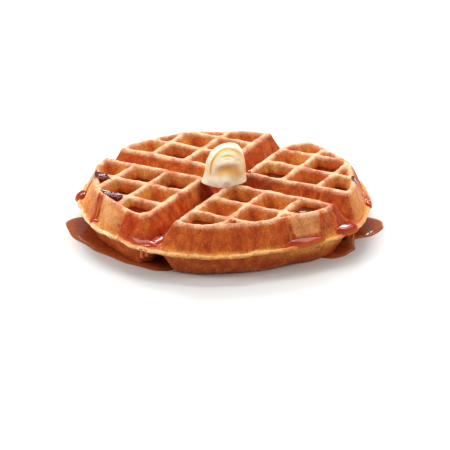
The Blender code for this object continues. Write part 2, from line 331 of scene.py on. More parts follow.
@dataclass(frozen=True)
class IronPattern:
    """Relief that a deep round waffle iron presses into both faces, in millimetres.

    A slope is a drop for each millimetre of plan, and a round is the width over which a
    corner is softened.
    """

    half: float
    pitch: float = 23.5
    first_rib: float = 10.5
    rib_shoulder: float = 1.25
    rib_depths: tuple[float, ...] = (0.0, 1.3, 10.6, 12.5)
    rib_half_widths: tuple[float, ...] = (1.2, 2.7, 5.8, 7.6)
    pocket_depth: float = 12.5
    pocket_slope: float = 3.0
    pocket_round: float = 0.4
    corner_round: float = 0.9
    floor_round: float = 1.2
    channel_shoulder: float = 1.4
    channel_slope: float = 2.27
    channel_round: float = 0.45
    web: float = 1.5
    crest_corner: float = 81.5
    facet_angle: float = 30.0
    facet_strength: float = 0.8
    facet_blur: float = 4.0
    rim_crest: float = 1.5
    wall_slope: float = 1.95
    wall_inset: float = 0.72
    wall_round: float = 0.5
    short: Spot = Spot(-42.0, 18.0, 4.0)
    skirt: float = 89.5
    skirt_half: float = 1.15
    skirt_swell: Spot = Spot(-120.0, 35.0, 0.5)
    skirt_waves: Waves = ((0.45, 8, 1.0), (0.35, 14, 0.0), (0.25, 22, 2.0),
                          (0.2, 43, 2.1), (0.14, 67, 0.4), (0.1, 101, 1.0))
    skirt_wander: float = 2.2
    skirt_round: float = 0.35
    edge_band: Band = (-1.2, 0.0)
    edge_thinning: float = 0.45
    edge_fall: float = 1.5
    curl_waves: Waves = ((0.25, 7, 0.6), (0.14, 19, 0.0), (0.08, 41, 1.0))
    curl_down: Spot = Spot(-62.0, 40.0, 0.6)
    mouths: tuple[Spot, ...] = tuple(Spot(angle, 11.0, 1.7) for angle in (0, 90, 180, 270))
    mouth_cuts: tuple[tuple[float, int, float], ...] = ((-90.0, -1, 72.5), (90.0, -1, 64.5))
    mouth_cut_slope: float = 0.9
    mouth_cut_aside: float = 8.5
    mouth_wall_slope: float = 1.44
    mouth_inset: float = 0.4
    far_inside: float = -30.0
    join_power: float = 7.0
    warps: tuple[tuple[float, float], ...] = ((0.45, 26.0), (0.3, 9.0))
    uneven: float = 0.25
    uneven_scale: float = 17.0

    def crest_radius(self, angle: np.ndarray) -> np.ndarray:
        """Outer edge of the crests: a soft polygon, drawn in where the batter ran short.

        A facet's radius is cos(h) / cos(off) of its half angle h and the angle off its
        middle. It is averaged over three angles, and counts for most of the radius.

        Args:
            angle: angles in degrees.

        Returns:
            Radii in millimetres.
        """
        half = self.facet_angle / 2
        offs = [(angle + shift + half) % self.facet_angle - half
                for shift in (-self.facet_blur, 0.0, self.facet_blur)]
        chord = sum(math.cos(math.radians(half)) / np.cos(np.radians(off)) for off in offs) / 3
        return self.crest_corner * (1 + self.facet_strength * (chord - 1)) - bell(angle, self.short)

    def skirt_radius(self, angle: np.ndarray) -> np.ndarray:
        """Edge of the skirt: a ragged circle, wider at the mouths of the channels."""
        ragged = sines(np.radians(angle), self.skirt_waves, self.skirt_wander)
        return self.skirt + ragged + bell(angle, *self.mouths) - bell(angle, self.short)

    def skirt_curl(self, angle: np.ndarray) -> np.ndarray:
        """How far the skirt's edge curls up: three sines, less where it droops."""
        return sines(np.radians(angle), self.curl_waves) - bell(angle, self.curl_down)

    def rib_half_width(self, depth: float) -> float:
        """Half width of a rib at a depth below the crest, on the pockets' side."""
        return float(np.interp(depth, self.rib_depths, self.rib_half_widths))

    def rib_gap(self, past: np.ndarray) -> np.ndarray:
        """Distance from the nearest rib's middle, for a distance past the first rib's."""
        phase = past % self.pitch
        return np.where(past > 0, np.minimum(phase, self.pitch - phase), past)

    def channel_drop(self, past: np.ndarray) -> np.ndarray:
        """Depth of a channel, a rounded ramp of the distance short of the first rib."""
        ramp = self.channel_slope * (-past - self.channel_shoulder)
        return soft_plus(ramp, self.channel_round)

    def mouth_reach(self, x: np.ndarray, y: np.ndarray) -> np.ndarray:
        """How far points lie outside the lines that cut two corners off at the mouths.

        Args:
            x: places along X.
            y: places along Y.

        Returns:
            Distances in millimetres, negative inside and far from a cut.
        """
        reach = np.full_like(x, self.far_inside)
        size = math.hypot(1.0, self.mouth_cut_slope)
        for angle, hand, start in self.mouth_cuts:
            ahead, aside = polar(angle, 1.0), polar(angle + 90, 1.0) * hand
            along, across = x * ahead[0] + y * ahead[1], x * aside[0] + y * aside[1]
            outwards = (along - start) * self.mouth_cut_slope - (across - self.mouth_cut_aside)
            near = soft_step(across, -1.0, 1.0) * soft_step(along, 20.0, 40.0)
            reach = np.maximum(reach, outwards / size * near + self.far_inside * (1 - near))
        return reach

    def height(self, x: np.ndarray, y: np.ndarray, face: Face = Face.UPPER) -> np.ndarray:
        """Height of a face over the middle plane.

        Each flank is a rounded ramp. A pocket drops by the smallest of its distances from
        the ribs, the rim and a cut corner, a channel by the distance from its two ribs,
        the outer wall by the distance outside the crests, and a cut corner by the distance
        past its line. The drops d join as (sum of d^p)^(1/p), so the deepest counts. The
        skirt and the web stop the fall.

        Args:
            x: places along X.
            y: places along Y.
            face: which face; the lower one has its own unevenness.

        Returns:
            Heights, positive away from the middle plane.
        """
        seed = 11 if face is Face.UPPER else 47
        dx, dy = (sum(size * flat_noise(x, y, scale, first + i)
                      for i, (size, scale) in enumerate(self.warps))
                  for first in (seed, seed + 2))
        x, y = x + dx, y + dy
        angle, radius = around(x, y)
        past = [np.abs(offset) - self.first_rib for offset in (x, y)]
        crest, mouth = self.crest_radius(angle), self.mouth_reach(x, y)
        rim_gaps = [crest - self.rim_crest - radius, -mouth - self.rim_crest]
        inside = soft_min([*map(self.rib_gap, past), *rim_gaps], self.corner_round)
        pocket = soft_plus(self.pocket_slope * (inside - self.rib_shoulder), self.pocket_round)
        pocket = soft_min([pocket, np.full_like(pocket, self.pocket_depth)], self.floor_round)
        wall = soft_plus(self.wall_slope * (radius - crest + self.wall_inset), self.wall_round)
        cut = soft_plus(self.mouth_wall_slope * (mouth - self.mouth_inset), self.wall_round)
        drops = [np.maximum(pocket, 0.0), *map(self.channel_drop, past), wall, cut]
        drop = sum(d ** self.join_power for d in drops) ** (1 / self.join_power)
        level = self.half - drop + self.uneven * flat_noise(x, y, self.uneven_scale, seed + 4)
        edge = radius - self.skirt_radius(angle)
        skirt = self.skirt_half + bell(angle, self.skirt_swell) + face.value * self.skirt_curl(angle)
        floor = np.where(radius > self.crest_corner, skirt, self.web)
        floor = floor - self.edge_thinning * soft_step(edge, *self.edge_band)
        floor = floor - self.edge_fall * np.maximum(edge, 0.0)
        return floor + soft_plus(level - floor, self.skirt_round)

    def surface(self, x: np.ndarray, y: np.ndarray) -> tuple[np.ndarray, np.ndarray]:
        """Points of the upper face over a plan, and their unit normals, each of x's shape and 3."""
        points = np.stack([x, y, self.height(x, y) + self.half], axis=-1)
        return points, slope_normals(self.height, x, y, 0.15)


def feed(tree: bpy.types.NodeTree, node: bpy.types.Node, inputs: dict[str | int, object]) -> None:
    """Set a node's inputs, or link them where the value is another node's output.

    Args:
        tree: the material's node tree.
        node: the node.
        inputs: input name or number to a value or an output socket.
    """
    for key, value in inputs.items():
        if isinstance(value, bpy.types.NodeSocket):
            tree.links.new(value, node.inputs[key])
        else:
            node.inputs[key].default_value = value


def add_node(tree: bpy.types.NodeTree, kind: str, inputs: dict[str | int, object] | None = None,
             **settings: object) -> bpy.types.Node:
    """Add a shader node with its settings, input values and links.

    Args:
        tree: the material's node tree.
        kind: the node's type name.
        inputs: as for feed.
        settings: attributes of the node.

    Returns:
        The new node.
    """
    node = tree.nodes.new(kind)
    for key, value in settings.items():
        setattr(node, key, value)
    feed(tree, node, inputs or {})
    return node


def set_ramp(node: bpy.types.Node, stops: Sequence[tuple[float, str]]) -> bpy.types.NodeSocket:
    """Give a colour ramp its stops.

    Args:
        node: the ramp.
        stops: places and hex colours.

    Returns:
        The ramp's colour socket.
    """
    ramp = node.color_ramp
    while len(ramp.elements) < len(stops):
        ramp.elements.new(0.5)
    for element, (place, colour) in zip(ramp.elements, stops):
        element.position = place
        element.color = linear(colour)
    return node.outputs["Color"]


def new_material(name: str) -> tuple[bpy.types.Material, bpy.types.NodeTree, bpy.types.NodeSocket]:
    """Start a material whose patterns follow Object coordinates.

    Args:
        name: the material's name.

    Returns:
        The material, its node tree and the socket of the Object coordinates.
    """
    material = bpy.data.materials.new(name)
    material.use_nodes = True
    tree = material.node_tree
    return material, tree, add_node(tree, "ShaderNodeTexCoord").outputs["Object"]


@dataclass(frozen=True)
class BakedCrust:
    """Baked batter: matt golden-brown skin, tan on crests and glossy where syrup wets it.

    Heat sets a foam of batter, so the skin has grain, darker pores where bubbles broke, and
    mottled browning a few millimetres across. The real grain is under half a millimetre,
    too fine for the picture, so it is drawn twice as coarse. The tan and gold masks also
    hold painted light on the lit sides of the outer wall, and the tan on crests is partly
    painted sheen.
    """

    deep: str = "97380F"
    brown: str = "B54C18"
    amber: str = "CB6E22"
    tan: str = "EAB48A"
    gold: str = "E2A04A"
    pale: str = "FAE2B8"
    pore: str = "5E2810"
    soaked: str = "EEB18E"
    browning: tuple[float, float, float] = (0.30, 0.50, 0.72)
    grain_mm: float = 0.95
    lump_mm: float = 2.4
    pore_mm: float = 2.6
    mottle_mm: float = 5.5
    mottle_heights: float = 0.55
    speckle: Band = (0.7, 1.25)
    dry_roughness: float = 0.7
    wet_roughness: float = 0.26
    dry_relief: float = 0.9
    wet_relief: float = 0.25
    relief_mm: float = 0.6
    scatter_mm: float = 1.8

    def build(self) -> bpy.types.Material:
        """Make the material from the attributes gold, tan, lip and wet of the piece.

        Returns:
            The material.
        """
        material, tree, place = new_material("baked_waffle_batter")
        gold, tan, lip, wet = (
            add_node(tree, "ShaderNodeAttribute", attribute_name=name).outputs["Fac"]
            for name in ("gold", "tan", "lip", "wet"))
        hung = add_node(tree, "ShaderNodeMapping", {
            "Vector": place, "Scale": (1.0, 1.0, self.mottle_heights)}).outputs[0]
        mottle, grain, lumps = (
            add_node(tree, "ShaderNodeTexNoise", {
                "Vector": vector, "Scale": 1 / (size * MM), "Detail": detail,
                "Roughness": rough}).outputs["Fac"]
            for vector, size, detail, rough in (
                (hung, self.mottle_mm, 5.0, 0.66), (place, self.grain_mm, 2.0, 0.6),
                (place, self.lump_mm, 3.0, 0.62)))
        ramp = add_node(tree, "ShaderNodeValToRGB", {"Fac": mottle})
        colour = set_ramp(ramp, list(zip(self.browning, (self.deep, self.brown, self.amber))))
        # Tan, gold and lip masks: the crust's own colour plus painted light on lit walls, painted sheen
        # on crests.
        for mask, strength, paler in ((gold, 0.9, self.gold), (tan, 1.6, self.tan),
                                      (lip, 1.2, self.pale)):
            colour = add_node(tree, "ShaderNodeMix", {
                0: self.patchy(tree, mask, mottle, strength), 6: colour, 7: linear(paler)},
                data_type="RGBA").outputs[2]
        speckle, rough, relief = (
            add_node(tree, "ShaderNodeMapRange", {
                "Value": value, "From Min": low, "From Max": high, "To Min": start,
                "To Max": end}).outputs[0]
            for value, low, high, start, end in (
                (grain, 0.3, 0.7, *self.speckle),
                (wet, 0.0, 1.0, self.dry_roughness, self.wet_roughness),
                (wet, 0.0, 1.0, self.dry_relief, self.wet_relief)))
        pore = self.pores(tree, place)
        for share, layer, blend in ((1.0, speckle, "MULTIPLY"), (pore, linear(self.pore), "MIX"),
                                    (wet, linear(self.soaked), "MULTIPLY")):
            colour = add_node(tree, "ShaderNodeMix", {0: share, 6: colour, 7: layer},
                              data_type="RGBA", blend_type=blend).outputs[2]
        depth = lumps
        for value, factor in ((pore, -0.9), (grain, 0.6)):
            depth = add_node(tree, "ShaderNodeMath", {0: value, 1: factor, 2: depth},
                             operation="MULTIPLY_ADD").outputs[0]
        bump = add_node(tree, "ShaderNodeBump", {
            "Height": depth, "Strength": relief, "Distance": self.relief_mm * MM})
        feed(tree, tree.nodes["Principled BSDF"], {
            "Base Color": colour, "Roughness": rough, "Normal": bump.outputs["Normal"],
            "IOR": 1.45, "Specular IOR Level": 0.32, "Subsurface Weight": 0.12,
            "Subsurface Radius": (1.0, 0.4, 0.12), "Subsurface Scale": self.scatter_mm * MM})
        return material

    @staticmethod
    def patchy(tree: bpy.types.NodeTree, mask: bpy.types.NodeSocket, noise: bpy.types.NodeSocket,
               strength: float) -> bpy.types.NodeSocket:
        """Break a mask up by noise: mask * (1 + 2 * strength * (noise - 0.5)), clipped.

        Args:
            tree: the material's node tree.
            mask: the mask's socket.
            noise: the noise's socket.
            strength: how far the noise swings the mask.

        Returns:
            The broken mask's socket.
        """
        swing = add_node(tree, "ShaderNodeMath", {0: noise, 1: 2 * strength, 2: 1 - strength},
                         operation="MULTIPLY_ADD")
        return add_node(tree, "ShaderNodeMath", {0: mask, 1: swing.outputs[0]},
                        operation="MULTIPLY", use_clamp=True).outputs[0]

    def pores(self, tree: bpy.types.NodeTree, place: bpy.types.NodeSocket) -> bpy.types.NodeSocket:
        """Broken bubbles: round spots of a random size in some cells of a Voronoi pattern.

        Args:
            tree: the material's node tree.
            place: the coordinates' socket.

        Returns:
            Socket that is 0 outside the spots.
        """
        cells = add_node(tree, "ShaderNodeTexVoronoi", {
            "Vector": place, "Scale": 1 / (self.pore_mm * MM), "Randomness": 1.0})
        size = add_node(tree, "ShaderNodeMapRange", {
            "Value": cells.outputs["Color"], "From Min": 0.5, "From Max": 1.0,
            "To Min": -0.02, "To Max": 0.2})
        gap = add_node(tree, "ShaderNodeMath", {0: cells.outputs["Distance"], 1: size.outputs[0]},
                       operation="SUBTRACT")
        return add_node(tree, "ShaderNodeMapRange", {
            "Value": gap.outputs[0], "From Min": -0.05, "From Max": 0.06,
            "To Min": 0.7, "To Max": 0.0}).outputs[0]


def deepening(tree: bpy.types.NodeTree, depth: bpy.types.NodeSocket, cloud: bpy.types.NodeSocket,
              stops: Sequence[tuple[float, str]]) -> bpy.types.NodeSocket:
    """Colour that goes through its stops with a depth, clouded: depth + 0.3 * (cloud - 0.5).

    Args:
        tree: the material's node tree.
        depth: the depth's socket.
        cloud: the noise's socket.
        stops: places and hex colours.

    Returns:
        The colour's socket.
    """
    level = add_node(tree, "ShaderNodeMath", {0: cloud, 1: 0.3, 2: depth}, operation="MULTIPLY_ADD")
    level = add_node(tree, "ShaderNodeMath", {0: level.outputs[0], 1: 0.15}, operation="SUBTRACT")
    return set_ramp(add_node(tree, "ShaderNodeValToRGB", {"Fac": level.outputs[0]}), stops)


@dataclass(frozen=True)
class MapleSyrup:
    """Poured maple syrup: amber liquid with a wet mirror-like skin, red-brown where thick.

    Light goes through a thin thread of it, and is nearly all taken up in a pool. Streaks
    of a few millimetres show where it flowed.
    """

    name: str
    transmission: float
    thin: str = "DC7428"
    middle: str = "C03A16"
    thick: str = "481408"
    roughness: float = 0.06
    gloss: float = 0.5
    streak_mm: float = 4.0

    def build(self) -> bpy.types.Material:
        """Make the material, whose colour deepens with the attribute body of the piece.

        Returns:
            The material.
        """
        material, tree, place = new_material(self.name)
        body = add_node(tree, "ShaderNodeAttribute", attribute_name="body").outputs["Fac"]
        streak = add_node(tree, "ShaderNodeTexNoise", {
            "Vector": place, "Scale": 1 / (self.streak_mm * MM), "Detail": 2.0}).outputs["Fac"]
        stops = [(0.0, self.thin), (0.45, self.middle), (1.0, self.thick)]
        swell = add_node(tree, "ShaderNodeBump", {
            "Height": streak, "Strength": 0.3, "Distance": 0.3 * MM})
        feed(tree, tree.nodes["Principled BSDF"], {
            "Base Color": deepening(tree, body, streak, stops), "Normal": swell.outputs["Normal"],
            "Roughness": self.roughness, "Transmission Weight": self.transmission, "IOR": 1.49,
            "Specular IOR Level": self.gloss})
        return material


@dataclass(frozen=True)
class WhippedButter:
    """Whipped butter: soft cream fat that lets some light in, with golden painted shade in its hollows.

    The froth of whipping leaves a satin skin with a faint grain of about a millimetre.
    """

    cream: str = "EEE5D0"
    butter: str = "F0D290"
    golden: str = "EAB252"
    roughness: float = 0.36
    cloud_mm: float = 3.0
    froth_mm: float = 0.9
    scatter_mm: float = 2.5

    def build(self) -> bpy.types.Material:
        """Make the material, golden as painted shade where the piece's attribute marks hollows.

        Returns:
            The material.
        """
        material, tree, place = new_material("whipped_butter")
        hollow_shade = add_node(tree, "ShaderNodeAttribute", attribute_name="hollow_shade").outputs["Fac"]
        cloud, froth = (
            add_node(tree, "ShaderNodeTexNoise", {
                "Vector": place, "Scale": 1 / (size * MM), "Detail": detail,
                "Roughness": rough}).outputs["Fac"]
            for size, detail, rough in ((self.cloud_mm, 3.0, 0.6), (self.froth_mm, 2.0, 0.5)))
        stops = [(0.0, self.cream), (0.35, self.butter), (1.0, self.golden)]
        bump = add_node(tree, "ShaderNodeBump", {
            "Height": froth, "Strength": 0.25, "Distance": 0.25 * MM})
        feed(tree, tree.nodes["Principled BSDF"], {
            "Base Color": deepening(tree, hollow_shade, cloud, stops), "Normal": bump.outputs["Normal"],
            "Roughness": self.roughness, "IOR": 1.46, "Subsurface Weight": 0.35,
            "Subsurface Radius": (1.0, 0.75, 0.35), "Subsurface Scale": self.scatter_mm * MM})
        return material


@dataclass(frozen=True)
class StudioPaper:
    """Matt white backdrop paper, rolled smooth, whose faint tooth shows only close by.

    The tooth of real paper is ten times finer, and is drawn coarser so that it shows.
    """

    white: str = "CECDCB"
    tooth_mm: float = 10 / 9

    def build(self) -> bpy.types.Material:
        """Make the material.

        Returns:
            The material.
        """
        material, tree, place = new_material("backdrop_paper")
        tooth = add_node(tree, "ShaderNodeTexNoise", {
            "Vector": place, "Scale": 1 / (self.tooth_mm * MM), "Detail": 2.0})
        bump = add_node(tree, "ShaderNodeBump", {
            "Height": tooth.outputs["Fac"], "Strength": 0.05, "Distance": 0.2 * MM})
        feed(tree, tree.nodes["Principled BSDF"], {
            "Base Color": linear(self.white), "Roughness": 0.8, "Normal": bump.outputs["Normal"]})
        return material


@dataclass(frozen=True)
class Run:
    """Syrup that ran down a wall, along plan points given as angles and radii."""

    name: str
    path: tuple[tuple[float, float], ...]
    half_width: float
    thickness: float
    wet_band: Band = (1.2, 0.3)

    def plan(self, steps: int, across: int) -> tuple[np.ndarray, np.ndarray, np.ndarray, np.ndarray]:
        """Ribbon round a smooth path: the path's point plus its sideways direction times w.

        The width w swings with the share s along the path, widens downwards and closes at
        both ends: h * (1 + 0.22 sin(9s + 3h) + 0.12 sin(23s)) * (0.55 + 0.45s) of the half
        width h, times the dome of s.

        Args:
            steps: points along the path.
            across: points across the ribbon.

        Returns:
            x, y, share along the path and share across it, each (steps, across).
        """
        knots = np.array([polar(angle, radius) for angle, radius in self.path])
        length = np.concatenate([[0], np.cumsum(np.linalg.norm(np.diff(knots, axis=0), axis=1))])
        place = np.linspace(0, length[-1], steps)
        middle = np.stack([np.interp(place, length, knots[:, axis]) for axis in (0, 1)], axis=1)
        middle = smooth(middle, steps // 6)
        ahead = np.gradient(middle, axis=0)
        ahead /= np.linalg.norm(ahead, axis=1, keepdims=True)
        side = np.stack([-ahead[:, 1], ahead[:, 0]], axis=1)
        share, over = np.meshgrid(np.linspace(0, 1, steps), np.linspace(-1, 1, across), indexing="ij")
        wave = 1 + 0.22 * np.sin(9 * share + self.half_width * 3) + 0.12 * np.sin(23 * share)
        width = self.half_width * wave * (0.55 + 0.45 * share) * dome(2 * share - 1, 8, 0.02)
        x, y = (middle[:, i:i + 1] + side[:, i:i + 1] * width * over for i in (0, 1))
        return x, y, share, over

    def cover(self, place: np.ndarray, ragged: np.ndarray) -> np.ndarray:
        """How wet the run makes points, by their distance from its middle.

        Args:
            place: points (n, 3) in millimetres, with heights over the middle plane.
            ragged: noise (n,) in millimetres.

        Returns:
            Array (n,) from 0 to 1.
        """
        x, y, _, _ = self.plan(24, 3)
        spine = np.stack([x[:, 1], y[:, 1]], axis=1)
        gap = np.linalg.norm(place[:, None, :2] - spine[None], axis=2).min(axis=1) + 0.4 * ragged
        return soft_step(gap - self.half_width, *self.wet_band)


@dataclass(frozen=True)
class Pool:
    """Thick syrup round an angle and a radius: half sizes along the rim and outwards.

    Top is its height over its base. Slant is how far its outline moves out for each
    millimetre along the rim, and bank is how much it is higher at its inner side.
    """

    name: str
    angle: float
    radius: float
    along: float
    out: float
    top: float
    slant: float = 0.0
    lobes: tuple[float, float, float] = (0.06, 0.07, 0.04)
    base: float = 0.0
    bank: float = 0.2
    wet_margin: float = 0.3
    wet_band: Band = (1.05, 0.95)
    wet_heights: Band = (1.6, 0.6)

    def plan(self, steps: int) -> tuple[np.ndarray, np.ndarray, np.ndarray]:
        """Disc bent round the rim, with an outline of three sines in the turn.

        Args:
            steps: grid lines each way.

        Returns:
            x, y and the distance from the middle as a share of the outline.
        """
        u, v = unit_disc(steps)
        turn = np.arctan2(v, u)
        lobed = 1 + self.lobes[0] * np.cos(2 * turn + self.angle)
        lobed = lobed + self.lobes[1] * np.cos(3 * turn + 2 * self.angle)
        lobed = lobed + self.lobes[2] * np.cos(5 * turn + self.along)
        along = self.along * v * lobed
        radius = self.radius + self.out * u * lobed + self.slant * along
        angle = np.radians(self.angle) + along / self.radius
        return radius * np.cos(angle), radius * np.sin(angle), np.hypot(u, v)

    def cover(self, place: np.ndarray, ragged: np.ndarray) -> np.ndarray:
        """How wet the pool makes points: those in its outline, up to just over its top.

        Args:
            place: points (n, 3) in millimetres, with heights over the middle plane.
            ragged: noise (n,) in millimetres.

        Returns:
            Array (n,) from 0 to 1.
        """
        off = place[:, :2] - polar(self.angle, self.radius)
        u = off @ polar(self.angle, 1.0) / (self.out + self.wet_margin)
        v = off @ polar(self.angle + 90, 1.0) / (self.along + self.wet_margin)
        low = soft_step(place[:, 2] - self.base - self.top, *self.wet_heights)
        return low * soft_step(np.hypot(u, v) + 0.04 * ragged, *self.wet_band)


@dataclass(frozen=True)
class Film:
    """Thin syrup soaked into the crust between two angles and two radii."""

    angles: tuple[float, float]
    radii: tuple[float, float]
    strength: float = 1.0

    def cover(self, place: np.ndarray, ragged: np.ndarray) -> np.ndarray:
        """How wet the film makes points inside its ragged edges.

        Args:
            place: points (n, 3) in millimetres.
            ragged: noise (n,) in millimetres.

        Returns:
            Array (n,) from 0 to the film's strength.
        """
        angle, radius = around(place[:, 0], place[:, 1])
        off = np.abs((angle - sum(self.angles) / 2 + 180) % 360 - 180)
        aside = np.radians(off - (self.angles[1] - self.angles[0]) / 2) * radius
        outwards = np.abs(radius - sum(self.radii) / 2) - (self.radii[1] - self.radii[0]) / 2
        return self.strength * soft_step(np.maximum(aside, outwards) + ragged, 0.4, -0.4)


@dataclass(frozen=True)
class Fill:
    """Syrup that stands in a pocket, up to a height over the middle plane.

    Columns and rows of pockets count from 1 outwards, negative on the other side.
    """

    column: int
    row: int
    level: float
    dome: float = -0.5
    overlap: float = 1.3
    wet_sides: Band = (11.5, 10.5)
    wet_heights: Band = (2.0, 0.6)

    def cover(self, place: np.ndarray, ragged: np.ndarray, pattern: IronPattern) -> np.ndarray:
        """How wet the syrup makes its pocket's walls, up to just over its level.

        Args:
            place: points (n, 3) in millimetres, with heights over the middle plane.
            ragged: noise (n,) in millimetres.
            pattern: says where the pocket is.

        Returns:
            Array (n,) from 0 to 1.
        """
        centre = [math.copysign(pattern.first_rib + (abs(k) - 0.5) * pattern.pitch, k)
                  for k in (self.column, self.row)]
        off = np.abs(place[:, :2] - centre).max(axis=1)
        rise = place[:, 2] - self.level + ragged
        return soft_step(off, *self.wet_sides) * soft_step(rise, *self.wet_heights)


@dataclass(frozen=True)
class Drip:
    """Drop that hangs from the skirt's edge: half widths of its bulb and of its neck."""

    name: str
    angle: float
    radius: float
    length: float
    bulb: float
    neck: float


@dataclass(frozen=True)
class Crust:
    """The baked waffle: one closed skin over both faces and the skirt, in millimetres.

    A band is where a soft step starts and ends.
    """

    pattern: IronPattern
    films: tuple[Film, ...]
    runs: tuple[Run, ...]
    pools: tuple[Pool, ...]
    fills: tuple[Fill, ...]
    upper_lines: int = 300
    lower_lines: int = 150
    grid_reach: float = 84.0
    skirt_rings: int = 6
    seam_half: float = 0.3
    lumps: tuple[Noise, ...] = (Noise(0.30, 5.2, 3), Noise(0.17, 2.3, 4))
    calm_band: Band = (91.0, 88.0)
    calm: float = 0.2
    ragged: tuple[Noise, ...] = (Noise(0.9, 4.5, 31, 0.5), Noise(0.5, 1.8, 32))
    stains: tuple[Noise, ...] = (Noise(1.0, 5.5, 33, 0.3), Noise(0.35, 2.2, 34, 0.4))
    stain_band: Band = (0.2, 0.55)
    stain_heights: Band = (15.0, 10.0)
    stain: float = 0.42
    glints: tuple[Noise, ...] = (Noise(1.0, 6.0, 41), Noise(0.5, 2.4, 42))
    glint_band: Band = (0.5, 0.8)
    glint_depths: Band = (1.6, 0.4)
    glint: float = 0.5
    inner_band: Band = (-1.5, -2.5)
    baking: tuple[Noise, ...] = (Noise(0.5, 8.0, 38), Noise(0.35, 2.6, 39))
    crest_depths: Band = (2.6, 0.3)
    # Painted light: facets of the outer wall that the side lamps light, and the lit far-left wall,
    # painted tan and gold.
    lit_facets: tuple[Spot, ...] = (Spot(-121, 11, 1.0), Spot(-26, 8, 0.8), Spot(14, 14, 0.7))
    lit_far_wall: Spot = Spot(-158, 14, 2.2)
    # Mostly painted light: walls at these angles are painted golden as if lit.
    lit_walls: tuple[Spot, ...] = (Spot(-158, 17, 1.6), Spot(163, 18, 0.6), Spot(40, 25, 0.5))
    foot_height: float = 4.0
    low_foot: Spot = Spot(-60, 22, 2.2)
    outer_band: Band = (-1.2, 0.2)
    facing_band: Band = (0.55, 0.8)
    wall_heights: Band = (2.0, 5.0)
    skirt_band: Band = (2.4, 1.2)
    skirt_heights: Band = (2.4, 0.8)
    lip_edge: tuple[Noise, ...] = (Noise(0.5, 2.0, 37),)
    lip_band: Band = (1.7, 0.4)
    # Painted light: the lip on the left is painted paler, where light falls.
    lit_lip: Spot = Spot(-118, 35, 0.75)
    patches: tuple[Noise, ...] = (Noise(1.0, 8.0, 35, 0.6), Noise(0.4, 2.5, 36))
    patch_band: Band = (-0.4, 0.7)
    pocket_heights: Band = (15.3, 13.0)
    channel_heights: Band = (14.0, 11.5)
    warm_under: Spot = Spot(-22, 15, 0.8)
    under_heights: Band = (10.0, 4.0)

    def grid_lines(self, count: int) -> np.ndarray:
        """Places of the grid's lines, closer together where walls are steep.

        They are evenly spaced by the arc length of a section through ribs and channels.

        Args:
            count: number of lines.

        Returns:
            Array (count,) of places.
        """
        pattern = self.pattern
        place = np.linspace(-self.grid_reach, self.grid_reach, 4001)
        past = np.abs(place) - pattern.first_rib
        ramp = pattern.pocket_slope * (pattern.rib_gap(past) - pattern.rib_shoulder)
        pocket = np.minimum(soft_plus(ramp, pattern.channel_round), pattern.pocket_depth)
        steep = 0.75 * np.gradient(np.maximum(pocket, pattern.channel_drop(past)), place)
        near_rim = 0.6 * soft_step(np.abs(place), 62.0, 72.0)
        length = np.cumsum(np.sqrt(1.0 + steep ** 2 + near_rim))
        return np.interp(np.linspace(length[0], length[-1], count), length, place)

    def half_skin(self, count: int) -> tuple[np.ndarray, np.ndarray, np.ndarray]:
        """Plan of one face from its middle to the skirt's edge.

        A grid of lines fills a circle, and rings of points carry its stepped edge out to
        the skirt, sliding to even angles on the way.

        Args:
            count: number of grid lines each way.

        Returns:
            Plan points (n, 2), quads, and the numbers of the outer ring in order of angle.
        """
        lines = self.grid_lines(count)
        x, y = np.meshgrid(lines, lines, indexing="ij")
        within = np.hypot(x, y) < self.grid_reach
        cell = within[:-1, :-1] & within[1:, :-1] & within[:-1, 1:] & within[1:, 1:]
        number = np.arange(count * count).reshape(count, count)
        corners = [number[:-1, :-1], number[1:, :-1], number[1:, 1:], number[:-1, 1:]]
        quads = np.stack(corners, axis=-1)[cell]
        kept, renumbered = np.unique(quads, return_inverse=True)
        quads = renumbered.reshape(quads.shape)
        plan = np.stack([x.ravel()[kept], y.ravel()[kept]], axis=1)
        sides = np.concatenate([quads[:, [i, (i + 1) % 4]] for i in range(4)])
        edges, uses = np.unique(np.sort(sides, axis=1), axis=0, return_counts=True)
        rim = np.unique(edges[uses == 1])
        angle = np.arctan2(plan[rim, 1], plan[rim, 0])
        order = np.argsort(angle)
        rim, angle = rim[order], angle[order]
        even = angle.mean() + (np.arange(len(rim)) + 0.5) / len(rim) * 2 * np.pi - np.pi
        start = np.hypot(plan[rim, 0], plan[rim, 1])
        points, loops = [plan], [rim]
        for ring in range(1, self.skirt_rings + 1):
            share = ring / self.skirt_rings
            turn = angle + (even - angle) * min(1.0, 1.6 * share)
            radius = start + (self.pattern.skirt_radius(np.degrees(turn)) - start) * share
            loops.append(np.arange(len(rim)) + sum(len(p) for p in points))
            points.append(np.stack([radius * np.cos(turn), radius * np.sin(turn)], axis=1))
        strips = [np.stack([inner, outer, np.roll(outer, -1), np.roll(inner, -1)], axis=1)
                  for inner, outer in zip(loops, loops[1:])]
        return np.concatenate(points), np.concatenate([quads, *strips]), loops[-1]

    @staticmethod
    def zip_loops(angle_a: np.ndarray, loop_a: np.ndarray, angle_b: np.ndarray,
                  loop_b: np.ndarray) -> np.ndarray:
        """Triangles between two rings of different counts.

        Going round by angle, each step along one ring makes a triangle with the point that
        the other ring has reached.

        Args:
            angle_a: rising angles of the first ring.
            loop_a: its vertex numbers.
            angle_b: rising angles of the second ring.
            loop_b: its vertex numbers.

        Returns:
            Array (n, 3) of vertex numbers.
        """
        reached_b = np.searchsorted(angle_b, np.roll(angle_a, -1), side="left") - 1
        reached_a = np.searchsorted(angle_a, np.roll(angle_b, -1), side="right") - 1
        first = [loop_a, np.roll(loop_a, -1), loop_b[reached_b % len(loop_b)]]
        second = [loop_b, loop_a[reached_a % len(loop_a)], np.roll(loop_b, -1)]
        return np.concatenate([np.stack(first, axis=1), np.stack(second, axis=1)])

